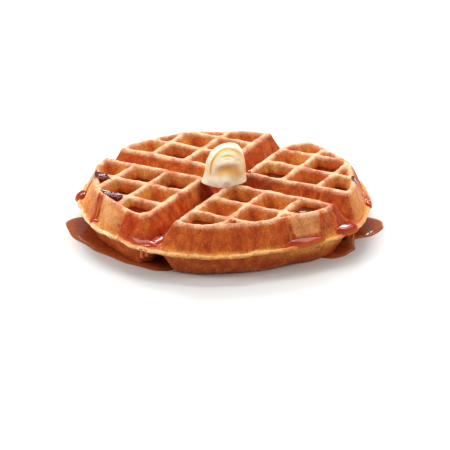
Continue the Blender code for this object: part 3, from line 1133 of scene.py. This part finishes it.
    def build(self) -> bpy.types.Object:
        """Make the skin, roughen it and store how baked and how wet it is.

        Returns:
            The piece.
        """
        verts, faces, rims, start = [], [], [], 0
        for face, count in ((Face.UPPER, self.upper_lines), (Face.LOWER, self.lower_lines)):
            plan, quads, rim = self.half_skin(count)
            z = face.value * self.pattern.height(plan[:, 0], plan[:, 1], face)
            turn = np.arctan2(plan[rim, 1], plan[rim, 0])
            z[rim] = face.value * self.seam_half + self.pattern.skirt_curl(np.degrees(turn))
            order = np.argsort(turn)
            rims.extend([turn[order], rim[order] + start])
            faces.extend((quads[:, ::face.value] + start).tolist())
            verts.append(np.column_stack([plan, z + self.pattern.half]))
            start += len(plan)
        faces.extend(self.zip_loops(*rims).tolist())
        piece = make_piece("waffle_crust", np.concatenate(verts), faces)
        self.roughen(piece.data)
        self.dress(piece)
        return piece

    def roughen(self, mesh: bpy.types.Mesh) -> None:
        """Push the skin in and out along its normals, in lumps and in crumbs.

        Args:
            mesh: the skin; it stays just over the floor's plane.
        """
        place, normal = read_mesh(mesh)
        calm = soft_step(np.hypot(place[:, 0], place[:, 1]), *self.calm_band)
        calm = calm * (1 - self.calm) + self.calm
        place = place + normal * (layered(place, self.lumps) * calm)[:, None]
        place[:, 2] = np.maximum(place[:, 2], FLOOR_GAP)
        mesh.vertices.foreach_set("co", (place * MM).ravel())
        mesh.update()

    def wetness(self, place: np.ndarray) -> np.ndarray:
        """How wet each point is: under films, near syrup, in stains and in glints on crests.

        Args:
            place: points (n, 3) in millimetres, with heights over the middle plane.

        Returns:
            Array (n,), the largest of what each of them gives, and 0 on the lower face.
        """
        ragged = layered(place, self.ragged)
        angle, radius = around(place[:, 0], place[:, 1])
        z, half = place[:, 2], self.pattern.half
        inner = soft_step(radius - self.pattern.crest_radius(angle), *self.inner_band)
        wets = [syrup.cover(place, ragged) for syrup in (*self.films, *self.runs, *self.pools)]
        wets += [inner * fill.cover(place, ragged, self.pattern) for fill in self.fills]
        stain = soft_step(layered(place, self.stains), *self.stain_band)
        wets.append(self.stain * inner * soft_step(z, *self.stain_heights) * stain)
        high = soft_step(z - half, *(-depth for depth in self.glint_depths))
        glint = soft_step(layered(place, self.glints), *self.glint_band)
        wets.append(self.glint * high * glint)
        return np.maximum.reduce(wets) * soft_step(z, -1.5, 0.0)

    def browning(self, place: np.ndarray, normal: np.ndarray) -> dict[str, np.ndarray]:
        """How pale, tan and golden the skin is.

        The skirt's lip is pale, and paler on the left as painted light. Crests are tan,
        partly as painted sheen, and the lit facets of the outer wall are tan as painted
        light. The skirt, the wall's foot, the lit facets and lit walls (painted light),
        patches in pockets and channels and a part of the underside are golden. The lower
        face gets less of each, partly as painted shade under the skirt.

        Args:
            place: points (n, 3) in millimetres, with heights over the middle plane.
            normal: unit normals (n, 3).

        Returns:
            For each attribute's name an array (n,).
        """
        pattern, z = self.pattern, place[:, 2]
        height = np.abs(z)
        angle, radius = around(place[:, 0], place[:, 1])
        facing = (normal[:, :2] * place[:, :2]).sum(axis=1) / radius
        facing = facing / (np.hypot(normal[:, 0], normal[:, 1]) + 0.05)
        facing = soft_step(facing, *self.facing_band)
        outer = facing * soft_step(radius - pattern.crest_radius(angle), *self.outer_band)
        wall = soft_step(height, *self.wall_heights)
        # The lower face gets less tan, pale and gold: partly its own browner crust, partly painted
        # shade under the skirt.
        upper = soft_step(z, -0.5, 0.5)
        lit_facets = bell(angle, *self.lit_facets)
        # Crests: partly paler crust, partly painted sheen on the ridges.
        crest = soft_step(height - pattern.half, *(-depth for depth in self.crest_depths))
        crest = crest * np.clip(0.85 + layered(place, self.baking), 0.25, 1.0)
        # Painted light: the lit facets and the lit far-left wall are painted tan.
        lit_tan = 0.3 * outer * upper * wall * (lit_facets + bell(angle, self.lit_far_wall))
        edge = pattern.skirt_radius(angle) - radius
        lip = soft_step(edge + layered(place, self.lip_edge), *self.lip_band)
        # Painted light on the left of the lip.
        lip = lip * (0.25 + bell(angle, self.lit_lip)) * (0.3 + 0.7 * upper)
        skirt = soft_step(edge, *self.skirt_band) * soft_step(height, *self.skirt_heights)
        reach = self.foot_height - bell(angle, self.low_foot)
        foot = np.clip((reach - height) / (reach - 0.8), 0, 1) * upper
        # Mostly painted light: the lit walls and the lit facets are painted golden.
        lit_gold = np.clip(bell(angle, *self.lit_walls) + 0.8 * lit_facets, 0, 1)
        past = np.minimum(np.abs(place[:, 0]), np.abs(place[:, 1])) - pattern.first_rib
        patches = soft_step(layered(place, self.patches), *self.patch_band)
        pocket = soft_step(height, *self.pocket_heights) * soft_step(past, 0.0, 2.0)
        channel = soft_step(height, *self.channel_heights) * soft_step(past, 0.0, -2.0)
        under = facing * soft_step(-z, 0.5, 2.0) * soft_step(radius, 76.0, 80.0)
        gold = np.maximum.reduce([
            skirt * (0.7 + 0.3 * upper),
            outer * upper * np.maximum(0.6 * foot, lit_gold * (0.7 + 0.3 * foot)),
            (1 - outer) * wall * pocket * (0.16 + 0.5 * patches),
            (1 - outer) * wall * channel * 0.15 * patches,
            under * bell(angle, self.warm_under) * soft_step(height, *self.under_heights)])
        return {"lip": lip, "tan": np.maximum(crest * (0.3 + 0.7 * upper), lit_tan), "gold": gold}

    def dress(self, piece: bpy.types.Object) -> None:
        """Store how baked and how wet the skin is, and give it its finish.

        Args:
            piece: the skin.
        """
        place, normal = read_mesh(piece.data)
        place = place - [0, 0, self.pattern.half]
        for name, values in self.browning(place, normal).items():
            set_attribute(piece, name, values)
        set_attribute(piece, "wet", np.clip(self.wetness(place), 0, 1))
        piece.data.materials.append(BakedCrust().build())


@dataclass(frozen=True)
class Syrup:
    """All the syrup on the waffle that is thick enough to have a body of its own.

    A body of 1 is as dark as syrup gets. Beads are angle, radius and half width.
    """

    pattern: IronPattern
    runs: tuple[Run, ...]
    skirt_pools: tuple[Pool, ...]
    crest_pools: tuple[Pool, ...]
    fills: tuple[Fill, ...]
    drips: tuple[Drip, ...]
    beads: tuple[tuple[float, float, float], ...]
    deep_body: float = 0.9
    full_depth: float = 5.0
    sunk: float = 0.5
    skin: float = 0.05
    thread_bulb: float = 0.6

    @staticmethod
    def keep(name: str, shells: Sequence[Shell], finish: bpy.types.Material) -> bpy.types.Object:
        """Join closed shells into one piece of syrup.

        Args:
            name: the piece's name.
            shells: the shells.
            finish: the material.

        Returns:
            The piece.
        """
        faces, start = [], 0
        for shell in shells:
            faces.extend([[number + start for number in face] for face in shell.faces])
            start += len(shell.verts)
        piece = make_piece(name, np.concatenate([shell.verts for shell in shells]), faces)
        set_attribute(piece, "body", np.concatenate([shell.body for shell in shells]))
        piece.data.materials.append(finish)
        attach(piece, "root")
        return piece

    def on_crust(self, x: np.ndarray, y: np.ndarray, thick: np.ndarray) -> Shell:
        """Syrup over the crust: its surface pushed out along its normal by the thickness.

        Args:
            x: plan places along X.
            y: plan places along Y.
            thick: thickness of the syrup there.

        Returns:
            The shell, sunk a little into the crust.
        """
        ground, normal = self.pattern.surface(x, y)
        shell = closed_shell(ground + normal * thick[..., None], ground - normal * self.sunk)
        body = np.clip(thick / self.full_depth, 0, 1).ravel()
        return Shell(*shell, np.concatenate([body, body]))

    def run_shell(self, run: Run) -> Shell:
        """Run of syrup: half an ellipse in section, thicker towards its lower end.

        Args:
            run: the run.

        Returns:
            The shell.
        """
        x, y, share, over = run.plan(60, 13)
        thick = run.thickness * (0.6 + 0.4 * share) * dome(over, 2) * dome(2 * share - 1, 8)
        return self.on_crust(x, y, thick - self.skin)

    def bead_shell(self, angle: float, radius: float, size: float) -> Shell:
        """Small bead on the crust: a dome, 0.6 of its half width high.

        Args:
            angle: where it sits, in degrees.
            radius: its distance from the waffle's middle.
            size: its half width.

        Returns:
            The shell.
        """
        u, v = unit_disc(9)
        middle = polar(angle, radius)
        thick = 0.6 * size * dome(np.hypot(u, v), 2)
        shell = self.on_crust(middle[0] + size * u, middle[1] + size * v, thick)
        return shell._replace(body=shell.body + 0.25)

    def skirt_pool_shell(self, pool: Pool) -> Shell:
        """Pool on the skirt, banked up against the wall.

        Its top is e + (top - e) * (1 - r^4)^0.6 * (1 - bank * u) of the height e of its
        edge, the share r from middle to outline and the share u outwards. Its underside,
        inside the skirt or hanging just past it, is e - 0.9 * (1 - r^4)^0.5.

        Args:
            pool: the pool.

        Returns:
            The shell.
        """
        x, y, share = pool.plan(49)
        edge, half = 0.1, self.pattern.half
        swell = 0.13 * flat_noise(x, y, 4.5, 71)
        outwards = (np.hypot(x, y) - pool.radius) / pool.out
        plateau = dome(share, 4) ** 1.2 * (1 - pool.bank * outwards)
        top = edge + (pool.top - edge) * plateau + swell * (1 - share)
        bottom = edge - 0.9 * dome(share, 4)
        shell = closed_shell(*(np.stack([x, y, z + half], axis=-1) for z in (top, bottom)))
        body = 0.7 * np.clip((top / 4.5).ravel(), 0, 1)
        return Shell(*shell, np.concatenate([body, body]))

    def brimming(self, x: np.ndarray, y: np.ndarray, share: np.ndarray, level: float) -> np.ndarray:
        """Crust with its pockets full, inside the crests and inside a pool's outline.

        Args:
            x: places along X.
            y: places along Y.
            share: distance from the pool's middle as a share of its outline.
            level: height that the pockets are filled to.

        Returns:
            Heights over the middle plane.
        """
        ground = self.pattern.height(x, y)
        angle, radius = around(x, y)
        full = soft_step(self.pattern.crest_radius(angle) - radius, 0.3, 1.8)
        full = full * soft_step(1 - share, 0.0, 0.14)
        return ground + soft_plus(level - ground, 0.35) * full

    def crest_pool_shell(self, pool: Pool) -> Shell:
        """Pool that brims over a full pocket: a film over the crests and the filled pocket.

        Its thickness is top * (0.4 + 1.2 r^6) * (1 - r^10)^0.5 of the share r from middle
        to outline, so it is a bowl with a raised rim, and small waves swing it.

        Args:
            pool: the pool.

        Returns:
            The shell.
        """
        x, y, share = pool.plan(65)
        half = self.pattern.half
        level = half - 0.35

        def ground(a: np.ndarray, b: np.ndarray) -> np.ndarray:
            """Height of what the film lies on."""
            return self.brimming(a, b, share, level)

        waves = 1 + 0.15 * flat_noise(x, y, 3.0, 73)
        thick = pool.top * waves * (0.4 + 1.2 * share ** 6) * dome(share, 10) - self.skin
        top = np.stack([x, y, ground(x, y) + half], axis=-1)
        top = top + slope_normals(ground, x, y, 0.3) * thick[..., None]
        under = np.stack([x, y, self.pattern.height(x, y) + half - self.sunk], axis=-1)
        verts, faces = closed_shell(top, under)
        return Shell(verts, faces, np.full(len(verts), self.deep_body))

    def fill_shell(self, fill: Fill) -> Shell:
        """Syrup in a pocket: a slab between ribs or the rim, whose top curves up to them.

        Its top is level + dome * (1 - s^2) * (1 - t^2) of the shares s and t from its
        middle to its sides, and it reaches just into the walls.

        Args:
            fill: which pocket, and how full.

        Returns:
            The shell.
        """
        pattern = self.pattern
        inset = pattern.rib_half_width(pattern.half - fill.level) - fill.overlap
        cells, signs = zip(*[(abs(k), math.copysign(1, k)) for k in (fill.column, fill.row)])
        low = [pattern.first_rib + (cell - 1) * pattern.pitch + inset for cell in cells]
        high = [pattern.first_rib + cell * pattern.pitch - inset for cell in cells]
        middle = math.degrees(math.atan2(signs[1] * low[1], signs[0] * low[0]))
        rim = float(pattern.crest_radius(np.array([middle]))[0]) - pattern.rim_crest - inset
        s, t = np.meshgrid(np.linspace(0, 1, 25), np.linspace(0, 1, 25), indexing="ij")
        last = min(high[1], math.sqrt(max(rim ** 2 - low[0] ** 2, 0)) - 0.3)
        y = low[1] + t * (last - low[1])
        x = low[0] + s * (np.minimum(high[0], np.sqrt(np.maximum(rim ** 2 - y ** 2, 0))) - low[0])
        curve = (1 - (2 * s - 1) ** 2) * (1 - (2 * t - 1) ** 2)
        z = fill.level + fill.dome * curve + 0.08 * flat_noise(x, y, 5.0, 5) + pattern.half
        floor = np.full_like(z, 2 * pattern.half - pattern.pocket_depth - 1.0)
        verts, faces = closed_shell(
            *(np.stack([signs[0] * x, signs[1] * y, height], axis=-1) for height in (z, floor)))
        return Shell(verts, faces, np.full(len(verts), self.deep_body))

    def drip_shell(self, drip: Drip) -> Shell:
        """Hanging drop: a circle carried down a plumb line, thin at its neck, round at its tip.

        Args:
            drip: where it hangs, and its sizes.

        Returns:
            The shell.
        """
        rows, sides = 22, 14
        share = np.linspace(0, 1, rows)
        radius = drip.neck + (drip.bulb - drip.neck) * soft_step(share, 0.35, 0.85)
        radius = radius + 1.1 * drip.neck * np.exp(-(share / 0.12) ** 2)
        radius = radius * dome(np.maximum(share - 0.78, 0) / 0.2205, 2)
        turn = np.linspace(0, 2 * np.pi, sides, endpoint=False)
        middle = polar(drip.angle, drip.radius)
        x = middle[0] + radius[:, None] * np.cos(turn)
        y = middle[1] + radius[:, None] * np.sin(turn)
        z = np.broadcast_to(self.pattern.half + 0.6 - share[:, None] * drip.length, x.shape)
        verts = np.stack([x, y, z], axis=-1).reshape(-1, 3)
        return Shell(verts, tube_faces(rows, sides), np.full(rows * sides, 0.1))

    def build(self) -> list[bpy.types.Object]:
        """Make every piece of syrup.

        Returns:
            The pieces.
        """
        pooled, deep, thread = (finish.build() for finish in (POOLED, DEEP, THREAD))
        parts = [(run.name, [self.run_shell(run)], pooled) for run in self.runs]
        parts += [(pool.name, [self.skirt_pool_shell(pool)], pooled) for pool in self.skirt_pools]
        parts += [(pool.name, [self.crest_pool_shell(pool)], deep) for pool in self.crest_pools]
        parts.append(("syrup_in_pockets", [self.fill_shell(fill) for fill in self.fills], deep))
        parts.append(("syrup_beads", [self.bead_shell(*bead) for bead in self.beads], pooled))
        parts += [(drip.name, [self.drip_shell(drip)],
                   thread if drip.bulb < self.thread_bulb else pooled) for drip in self.drips]
        return [self.keep(*part) for part in parts]


@dataclass(frozen=True)
class ButterScoop:
    """Scoop of whipped butter on the crossing of the channels, sizes in millimetres.

    A bump is its size, its place across and up, and its reach across and up. A band is
    its depth, and its place and half width as shares of the oval, which has a middle
    across and up and two half sizes.
    """

    seat: float
    place: tuple[float, float] = (3.8, -5.9)
    turn: float = 28.3
    height: float = 23.0
    half_width: float = 12.3
    half_depth: float = 11.0
    belly: float = 6.0
    columns: int = 150
    crown_rows: int = 70
    foot_rows: int = 26
    lean: float = 2.9
    foot_flare: float = 0.03
    foot_spread: float = 0.19
    foot_sag: float = 1.1
    foot_lobes: tuple[Spot, ...] = (Spot(192, 34, 0.9), Spot(258, 34, 0.7), Spot(330, 30, 0.25))
    relief: tuple[tuple[float, ...], ...] = (
        (1.0, 1.2, 9.4, 7.0, 3.0), (-1.7, 2.4, 14.6, 8.0, 2.4), (-1.7, 0.6, 3.1, 2.8, 2.5),
        (-1.8, -7.8, 2.8, 5.0, 2.9), (1.2, 8.4, 3.0, 3.2, 4.5))
    # Painted shade: golden tint in the dent under the curl, on its right and in the groove on its left.
    golden: tuple[tuple[float, ...], ...] = (
        (0.8, 1.6, 9.6, 6.8, 2.8), (0.25, 8.6, 6.0, 4.6, 6.5), (0.3, -10.6, 10.0, 1.2, 6.0))
    folds: tuple[tuple[float, ...], ...] = (
        (0.8, 1.5, 17.8, 4.2, 0.5), (0.5, 1.0, 16.4, 2.6, 0.4), (0.35, 7.4, 15.2, 2.0, 0.7))
    droop: float = 0.3
    oval: tuple[float, float, float, float] = (1.8, 7.0, 10.4, 14.0)
    bands: tuple[tuple[float, float, float], ...] = (
        (1.3, 1.0, 0.05), (-0.7, 1.14, 0.06), (0.4, 1.25, 0.025))
    cap: float = 0.15
    uneven: float = 0.22
    uneven_scale: float = 3.4

    def skin(self) -> tuple[np.ndarray, np.ndarray]:
        """Points of the scoop and how hollow it is there.

        The skin is an egg that leans to +X at its top and spreads at its foot. On the side
        that faces -Y it is pushed in or out along Y by bumps size * exp(-a^4 - b^2) of the
        shares a and b of their reach across and up, whose ends droop, and by bands round
        an oval.

        Returns:
            Points (rows, columns, 3) from the middle of the seat, and the golden tint
            (rows, columns): painted shade in the dents and folds, and a tint at the top.
        """
        crown = np.concatenate([np.linspace(0.012, 1, self.crown_rows), np.ones(self.foot_rows)])
        foot = np.concatenate([np.zeros(self.crown_rows), np.linspace(0, 1, self.foot_rows + 1)[1:]])
        crown, foot = crown[:, None], foot[:, None]
        turn = np.linspace(0, 2 * np.pi, self.columns, endpoint=False)[None, :]
        tilt = np.pi / 2 * crown
        lobes = bell(np.degrees(turn), *self.foot_lobes)
        spread = np.sin(tilt) ** 0.92
        spread = spread * (1 + (self.foot_flare + self.foot_spread * lobes) * foot ** 2)
        z = self.belly * (1 - foot) + (self.height - self.belly) * np.cos(tilt)
        z = z - self.foot_sag * lobes * foot ** 3
        x = self.half_width * spread * np.cos(turn) + self.lean * (z / self.height) ** 4
        y = self.half_depth * spread * np.sin(turn)
        facing = np.maximum(0.0, -np.sin(turn)) * np.sin(tilt)
        # Painted shade: dents, folds and grooves of the relief get a golden tint.
        push, hollow_shade = np.zeros_like(x), np.zeros_like(x)
        for layer, bumps in ((push, self.relief), (push, self.folds),
                             (hollow_shade, self.golden), (hollow_shade, self.folds)):
            for size, across, up, reach_x, reach_z in bumps:
                off = (x - across) / reach_x
                rise = (z - up + self.droop * reach_x * off ** 2) / reach_z
                layer += size * np.exp(-off ** 4 - rise ** 2)
        middle_x, middle_z, half_x, half_z = self.oval
        outline = np.hypot((x - middle_x) / half_x, (z - middle_z) / half_z)
        over = soft_step(z, 3.5, 7.0)
        for depth, middle, width in self.bands:
            gap = (outline - middle) / width
            push += depth * over * np.exp(-gap ** 2)
            hollow_shade += 0.7 * max(depth, 0.0) * over * np.exp(-(gap / 1.4) ** 2)
        cap = self.cap * soft_step(z, self.height - 2.4, self.height - 1.0)
        points = np.stack([x, y + push * facing ** 0.7, z], axis=-1)
        return points, np.maximum(hollow_shade * facing ** 0.5, cap)

    def build(self) -> bpy.types.Object:
        """Make the scoop, slightly uneven, turned and set on its seat.

        Returns:
            The piece.
        """
        points, hollow_shade = self.skin()
        flat = points.reshape(-1, 3)
        shake = np.stack([value_noise(flat, self.uneven_scale, seed) for seed in (61, 62, 63)], axis=1)
        flat = flat + self.uneven * np.clip(flat[:, 2:3] / 2.0, 0, 1) * shake
        (cosine, sine), seat = polar(self.turn, 1.0), [*self.place, self.seat]
        flat = flat @ np.array([[cosine, sine, 0], [-sine, cosine, 0], [0, 0, 1]]) + seat
        piece = make_piece("butter_scoop", flat, tube_faces(*hollow_shade.shape))
        set_attribute(piece, "hollow_shade", np.clip(hollow_shade, 0, 1).ravel())
        piece.data.materials.append(WhippedButter().build())
        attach(piece, "root")
        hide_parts("butter")
        return piece


@dataclass(frozen=True)
class Puddle:
    """Thin syrup that gathered round the foot of the waffle, on what it rests on.

    Its edge is given by angles and outer radii.
    """

    name: str
    edge: tuple[tuple[float, float], ...]
    inner: float = 62.0
    thickness: float = 1.1
    bottom: float = 0.02
    lip: float = 0.01
    thin_body: float = 0.22
    thick_body: float = 0.47

    def build(self, finish: bpy.types.Material) -> bpy.types.Object:
        """Make the puddle: thickness * (1 - s^10)^0.5 of the share s from inside to edge.

        Args:
            finish: the material.

        Returns:
            The piece.
        """
        angles, radii = np.array(self.edge).T
        t, s = np.meshgrid(np.linspace(0, 1, 90), np.linspace(0, 1, 22), indexing="ij")
        angle = angles[0] + t * (angles[-1] - angles[0])
        turn = np.radians(angle)
        outer = smooth(np.interp(angle, angles, radii), 3)
        outer = outer + 0.5 * np.sin(turn * 23) * soft_step(outer, 78.0, 84.0)
        radius = self.inner + (outer - self.inner) * s
        x, y = radius * np.cos(turn), radius * np.sin(turn)
        rise = self.thickness * dome(2 * t - 1, 16) * dome(s, 10) + self.lip
        heights = (self.bottom + rise, np.full_like(rise, self.bottom))
        shell = closed_shell(*(np.stack([x, y, z], axis=-1) for z in heights))
        piece = make_piece(self.name, *shell)
        body = (self.thick_body - self.thin_body) * soft_step(1 - s, 0.0, 0.3) + self.thin_body
        set_attribute(piece, "body", np.concatenate([body.ravel(), body.ravel()]))
        piece.data.materials.append(finish)
        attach(piece, "root")
        return piece


@dataclass(frozen=True)
class Softbox:
    """Lamp that faces the waffle: where it stands from the camera's side, and its size.

    Angles are in degrees, lengths in metres and power in watts.
    """

    name: str
    aside: float
    elevation: float
    away: float
    size: tuple[float, float]
    power: float
    glossy: bool = True


@dataclass(frozen=True)
class Studio:
    """Pale floor, soft lights and the camera, all aimed at the waffle's middle."""

    half: float
    lights: tuple[Softbox, ...]
    azimuth: float = 28.33
    elevation: float = 22.3
    distance: float = 1.150
    lens: float = 149.9
    sensor: float = 36.0
    aim_right: float = 0.00037
    aim_down: float = 0.01625
    floor_half: float = 6.0
    glow: float = 0.31

    @staticmethod
    def direction(azimuth: float, elevation: float) -> np.ndarray:
        """Unit vector from the waffle towards a place, azimuth counted from -Y to +X."""
        a, e = math.radians(azimuth), math.radians(elevation)
        return np.array([math.sin(a) * math.cos(e), -math.cos(a) * math.cos(e), math.sin(e)])

    @staticmethod
    def place(item: bpy.types.Object, place: np.ndarray, target: np.ndarray) -> None:
        """Link an object, put it at a place and turn its -Z axis to a target, with +Y up.

        Args:
            item: the object.
            place: where it goes, in metres.
            target: what it looks at, in metres.
        """
        bpy.context.scene.collection.objects.link(item)
        item.location = place
        item.rotation_mode = "QUATERNION"
        item.rotation_quaternion = Vector(target - place).to_track_quat("-Z", "Y")

    def add_camera(self, middle: np.ndarray) -> None:
        """Camera at the photograph's angle, which looks just below the waffle's middle.

        Args:
            middle: the waffle's middle, in metres.
        """
        data = bpy.data.cameras.new("camera")
        data.lens, data.sensor_width = self.lens, self.sensor
        camera = bpy.data.objects.new("camera", data)
        back = self.direction(self.azimuth, self.elevation)
        right = self.direction(self.azimuth + 90, 0.0)
        target = middle + right * self.aim_right - np.cross(back, right) * self.aim_down
        self.place(camera, middle + back * self.distance, target)
        bpy.context.scene.camera = camera

    def add_light(self, softbox: Softbox, middle: np.ndarray) -> None:
        """Lamp that faces the waffle's middle.

        Args:
            softbox: the lamp.
            middle: the waffle's middle, in metres.
        """
        data = bpy.data.lights.new(softbox.name, "AREA")
        data.shape = "RECTANGLE"
        data.size, data.size_y = softbox.size
        data.energy = softbox.power
        lamp = bpy.data.objects.new(softbox.name, data)
        lamp.visible_glossy = softbox.glossy
        back = self.direction(self.azimuth + softbox.aside, softbox.elevation)
        self.place(lamp, middle + back * softbox.away, middle)

    def build(self) -> None:
        """Set the floor, the lights, the world's glow and the camera."""
        verts = np.array([[-1, -1, 0], [1, -1, 0], [1, 1, 0], [-1, 1, 0]]) * self.floor_half / MM
        floor = make_piece("floor", verts, [[0, 1, 2, 3]])
        floor.data.materials.append(StudioPaper().build())
        middle = np.array([0.0, 0.0, self.half * MM])
        for softbox in self.lights:
            self.add_light(softbox, middle)
        world = bpy.data.worlds.new("studio_glow")
        world.use_nodes = True
        feed(world.node_tree, world.node_tree.nodes["Background"], {
            "Color": linear("FFFFFF"), "Strength": self.glow})
        bpy.context.scene.world = world
        bpy.context.scene.view_settings.view_transform = "Standard"
        self.add_camera(middle)


POOLED = MapleSyrup("maple_syrup", 0.4)
DEEP = MapleSyrup("maple_syrup_deep", 0.4, gloss=0.25)
THREAD = MapleSyrup("maple_syrup_thread", 0.8, thin="E8A23C")
SPREAD = MapleSyrup("maple_syrup_puddle", 0.4, thin="C8743A", middle="A4421A", gloss=0.38)
RUNS = (
    Run("syrup_run_left_a", ((-130.2, 79.0), (-129.9, 81.0), (-128.4, 83.0), (-126.4, 85.6)), 0.8, 0.9),
    Run("syrup_run_left_b", ((-127.8, 78.6), (-127.7, 80.5), (-125.8, 82.8), (-124.6, 85.4)), 0.7, 0.8),
    Run("syrup_run_far_left", ((-151.5, 80.5), (-152.0, 83.5), (-150.0, 87.0)), 1.4, 0.9),
    Run("syrup_run_front_a", ((-34.8, 75.4), (-33.9, 77.2), (-33.4, 79.6), (-33.6, 82.6)), 1.4, 0.8),
    Run("syrup_run_front_b", ((-16.9, 79.6), (-17.6, 81.5), (-18.9, 84.2), (-20.0, 86.4)), 0.7, 0.7),
    Run("syrup_run_far_right_a",
        ((44.0, 81.0), (38.0, 83.8), (32.0, 86.6), (25.0, 88.6), (21.5, 89.2)), 0.9, 0.9),
    Run("syrup_run_far_right_b", ((37.0, 80.6), (31.0, 83.2), (25.5, 86.0), (20.5, 88.2)), 0.7, 0.8),
)
SKIRT_POOLS = (
    Pool("syrup_pool_left_mouth", -97.0, 85.4, 12.0, 4.6, 3.4, bank=0.45),
    Pool("syrup_pool_left_channel", -91.4, 78.6, 4.0, 7.6, 3.0),
    Pool("syrup_pool_right_mouth", -6.6, 87.2, 9.8, 5.6, 4.2, bank=0.05),
    Pool("syrup_pool_front", -28.0, 84.6, 13.0, 3.6, 3.6, 0.12, bank=0.4),
    Pool("syrup_bead_far_left", -151.5, 87.4, 6.4, 3.8, 4.4),
    Pool("syrup_bead_left", -125.6, 86.0, 4.8, 2.8, 2.8),
    Pool("syrup_bead_right", 20.5, 88.6, 3.6, 2.2, 2.8),
)
CREST_POOLS = (
    Pool("syrup_brim_far_left", -151.3, 75.3, 7.8, 4.1, 0.5, -0.5, (0.1, 0.1, 0.07), 15.5),
    Pool("syrup_brim_left", -127.0, 73.6, 7.8, 3.5, 0.5, -0.5, (0.08, 0.1, 0.07), 15.5),
    Pool("syrup_brim_right", 24.5, 79.2, 4.4, 1.8, 0.6, 0.0, (0.1, 0.12, 0.07), 15.5),
)
FILMS = (
    Film((-107.2, -100.4), (73.5, 89.0)),
    Film((-100.8, -96.6), (73.5, 89.0), 0.32),
    Film((-95.0, -91.0), (64.0, 80.0), 0.8),
    Film((-155.0, -150.0), (78.0, 89.0), 0.6),
    Film((-131.5, -125.5), (77.0, 87.0), 0.7),
    Film((-39.0, -33.8), (74.0, 86.0), 0.75),
    Film((-9.5, -4.5), (72.0, 88.0)),
    Film((20.0, 37.0), (79.5, 89.0), 0.6),
)
FILLS = (
    Fill(2, 2, 9.6), Fill(3, 1, 9.0), Fill(1, 1, 9.2), Fill(3, -1, 11.6), Fill(1, -1, 7.6),
    Fill(1, -3, 11.0), Fill(-1, -1, 8.4), Fill(-2, -1, 8.6), Fill(-2, -2, 8.2),
    Fill(-1, -3, 10.6), Fill(-2, 1, 8.4),
)
DRIPS = (
    Drip("syrup_drip_left_a", -93.4, 90.4, 6.2, 1.3, 0.8),
    Drip("syrup_drip_left_b", -91.2, 90.6, 4.4, 1.0, 0.7),
    Drip("syrup_thread_right", -5.0, 91.3, 10.5, 0.5, 0.3),
)
BEADS = (
    (-104.4, 80.9, 1.1), (-102.5, 85.7, 1.1), (-8.6, 81.5, 1.2), (-9.4, 84.5, 1.1),
    (-129.6, 80.8, 1.4), (8.1, 51.4, 1.2), (6.8, 60.4, 1.1), (47.3, 15.9, 1.6),
    (-93.2, 71.3, 1.4), (-32.9, 78.6, 1.4), (-31.8, 81.6, 1.2), (-18.6, 84.0, 1.1),
    (-57.2, 71.0, 1.2), (-62.0, 70.2, 0.9), (40.0, 18.5, 1.1),
)
PUDDLES = (
    Puddle("syrup_puddle_left", (
        (-158.0, 80.0), (-155.5, 93.0), (-152.0, 97.5), (-146.5, 97.5), (-134.5, 93.5),
        (-125.5, 89.5), (-116.5, 87.0), (-108.0, 85.0), (-98.0, 84.0), (-90.0, 83.0),
        (-85.0, 80.0), (-82.0, 72.0))),
    Puddle("syrup_puddle_right", (
        (-15.0, 80.0), (-13.0, 84.5), (-7.0, 88.5), (0.0, 89.0), (5.0, 84.0), (9.5, 83.5),
        (14.0, 92.0), (23.0, 98.0), (29.0, 98.0), (32.0, 91.5), (34.0, 80.0))),
)
LIGHTS = (
    Softbox("back_softbox", 170, 60.0, 1.3, (1.5, 0.9), 11.0),
    Softbox("back_window", 180, 39.0, 1.25, (0.62, 0.42), 10.0),
    Softbox("high_strip", 180, 68.0, 1.15, (0.5, 0.1), 2.4),
    Softbox("back_spark", 200, 44.0, 1.2, (0.12, 0.12), 1.2),
    Softbox("front_spark", -50, 50.0, 1.2, (0.12, 0.12), 1.2),
    Softbox("left_softbox", -75, 34.0, 1.2, (0.35, 0.45), 7.2, glossy=False),
    Softbox("right_softbox", 75, 36.0, 1.2, (0.35, 0.45), 5.8, glossy=False),
    Softbox("front_fill", -10, 62.0, 1.6, (1.0, 0.8), 2.0, glossy=False),
)


def main() -> None:
    """Build the waffle, its syrup, its butter and the studio."""
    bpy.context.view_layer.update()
    low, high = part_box("waffle")
    half = (high[2] - low[2]) / 2 / MM
    pattern = IronPattern(half)
    crust = Crust(pattern, FILMS, RUNS, SKIRT_POOLS + CREST_POOLS, FILLS).build()
    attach(crust, "root")
    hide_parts("waffle")
    pieces = [crust]
    pieces += Syrup(pattern, RUNS, SKIRT_POOLS, CREST_POOLS, FILLS, DRIPS, BEADS).build()
    pieces.append(ButterScoop(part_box("butter")[0][2] / MM).build())
    spread = SPREAD.build()
    pieces += [puddle.build(spread) for puddle in PUDDLES]
    for piece in pieces:
        LOG.info("%s: %d faces", piece.name, len(piece.data.polygons))
    Studio(half, LIGHTS).build()


if __name__ == "__main__":
    logging.basicConfig(level=logging.INFO)
    main()
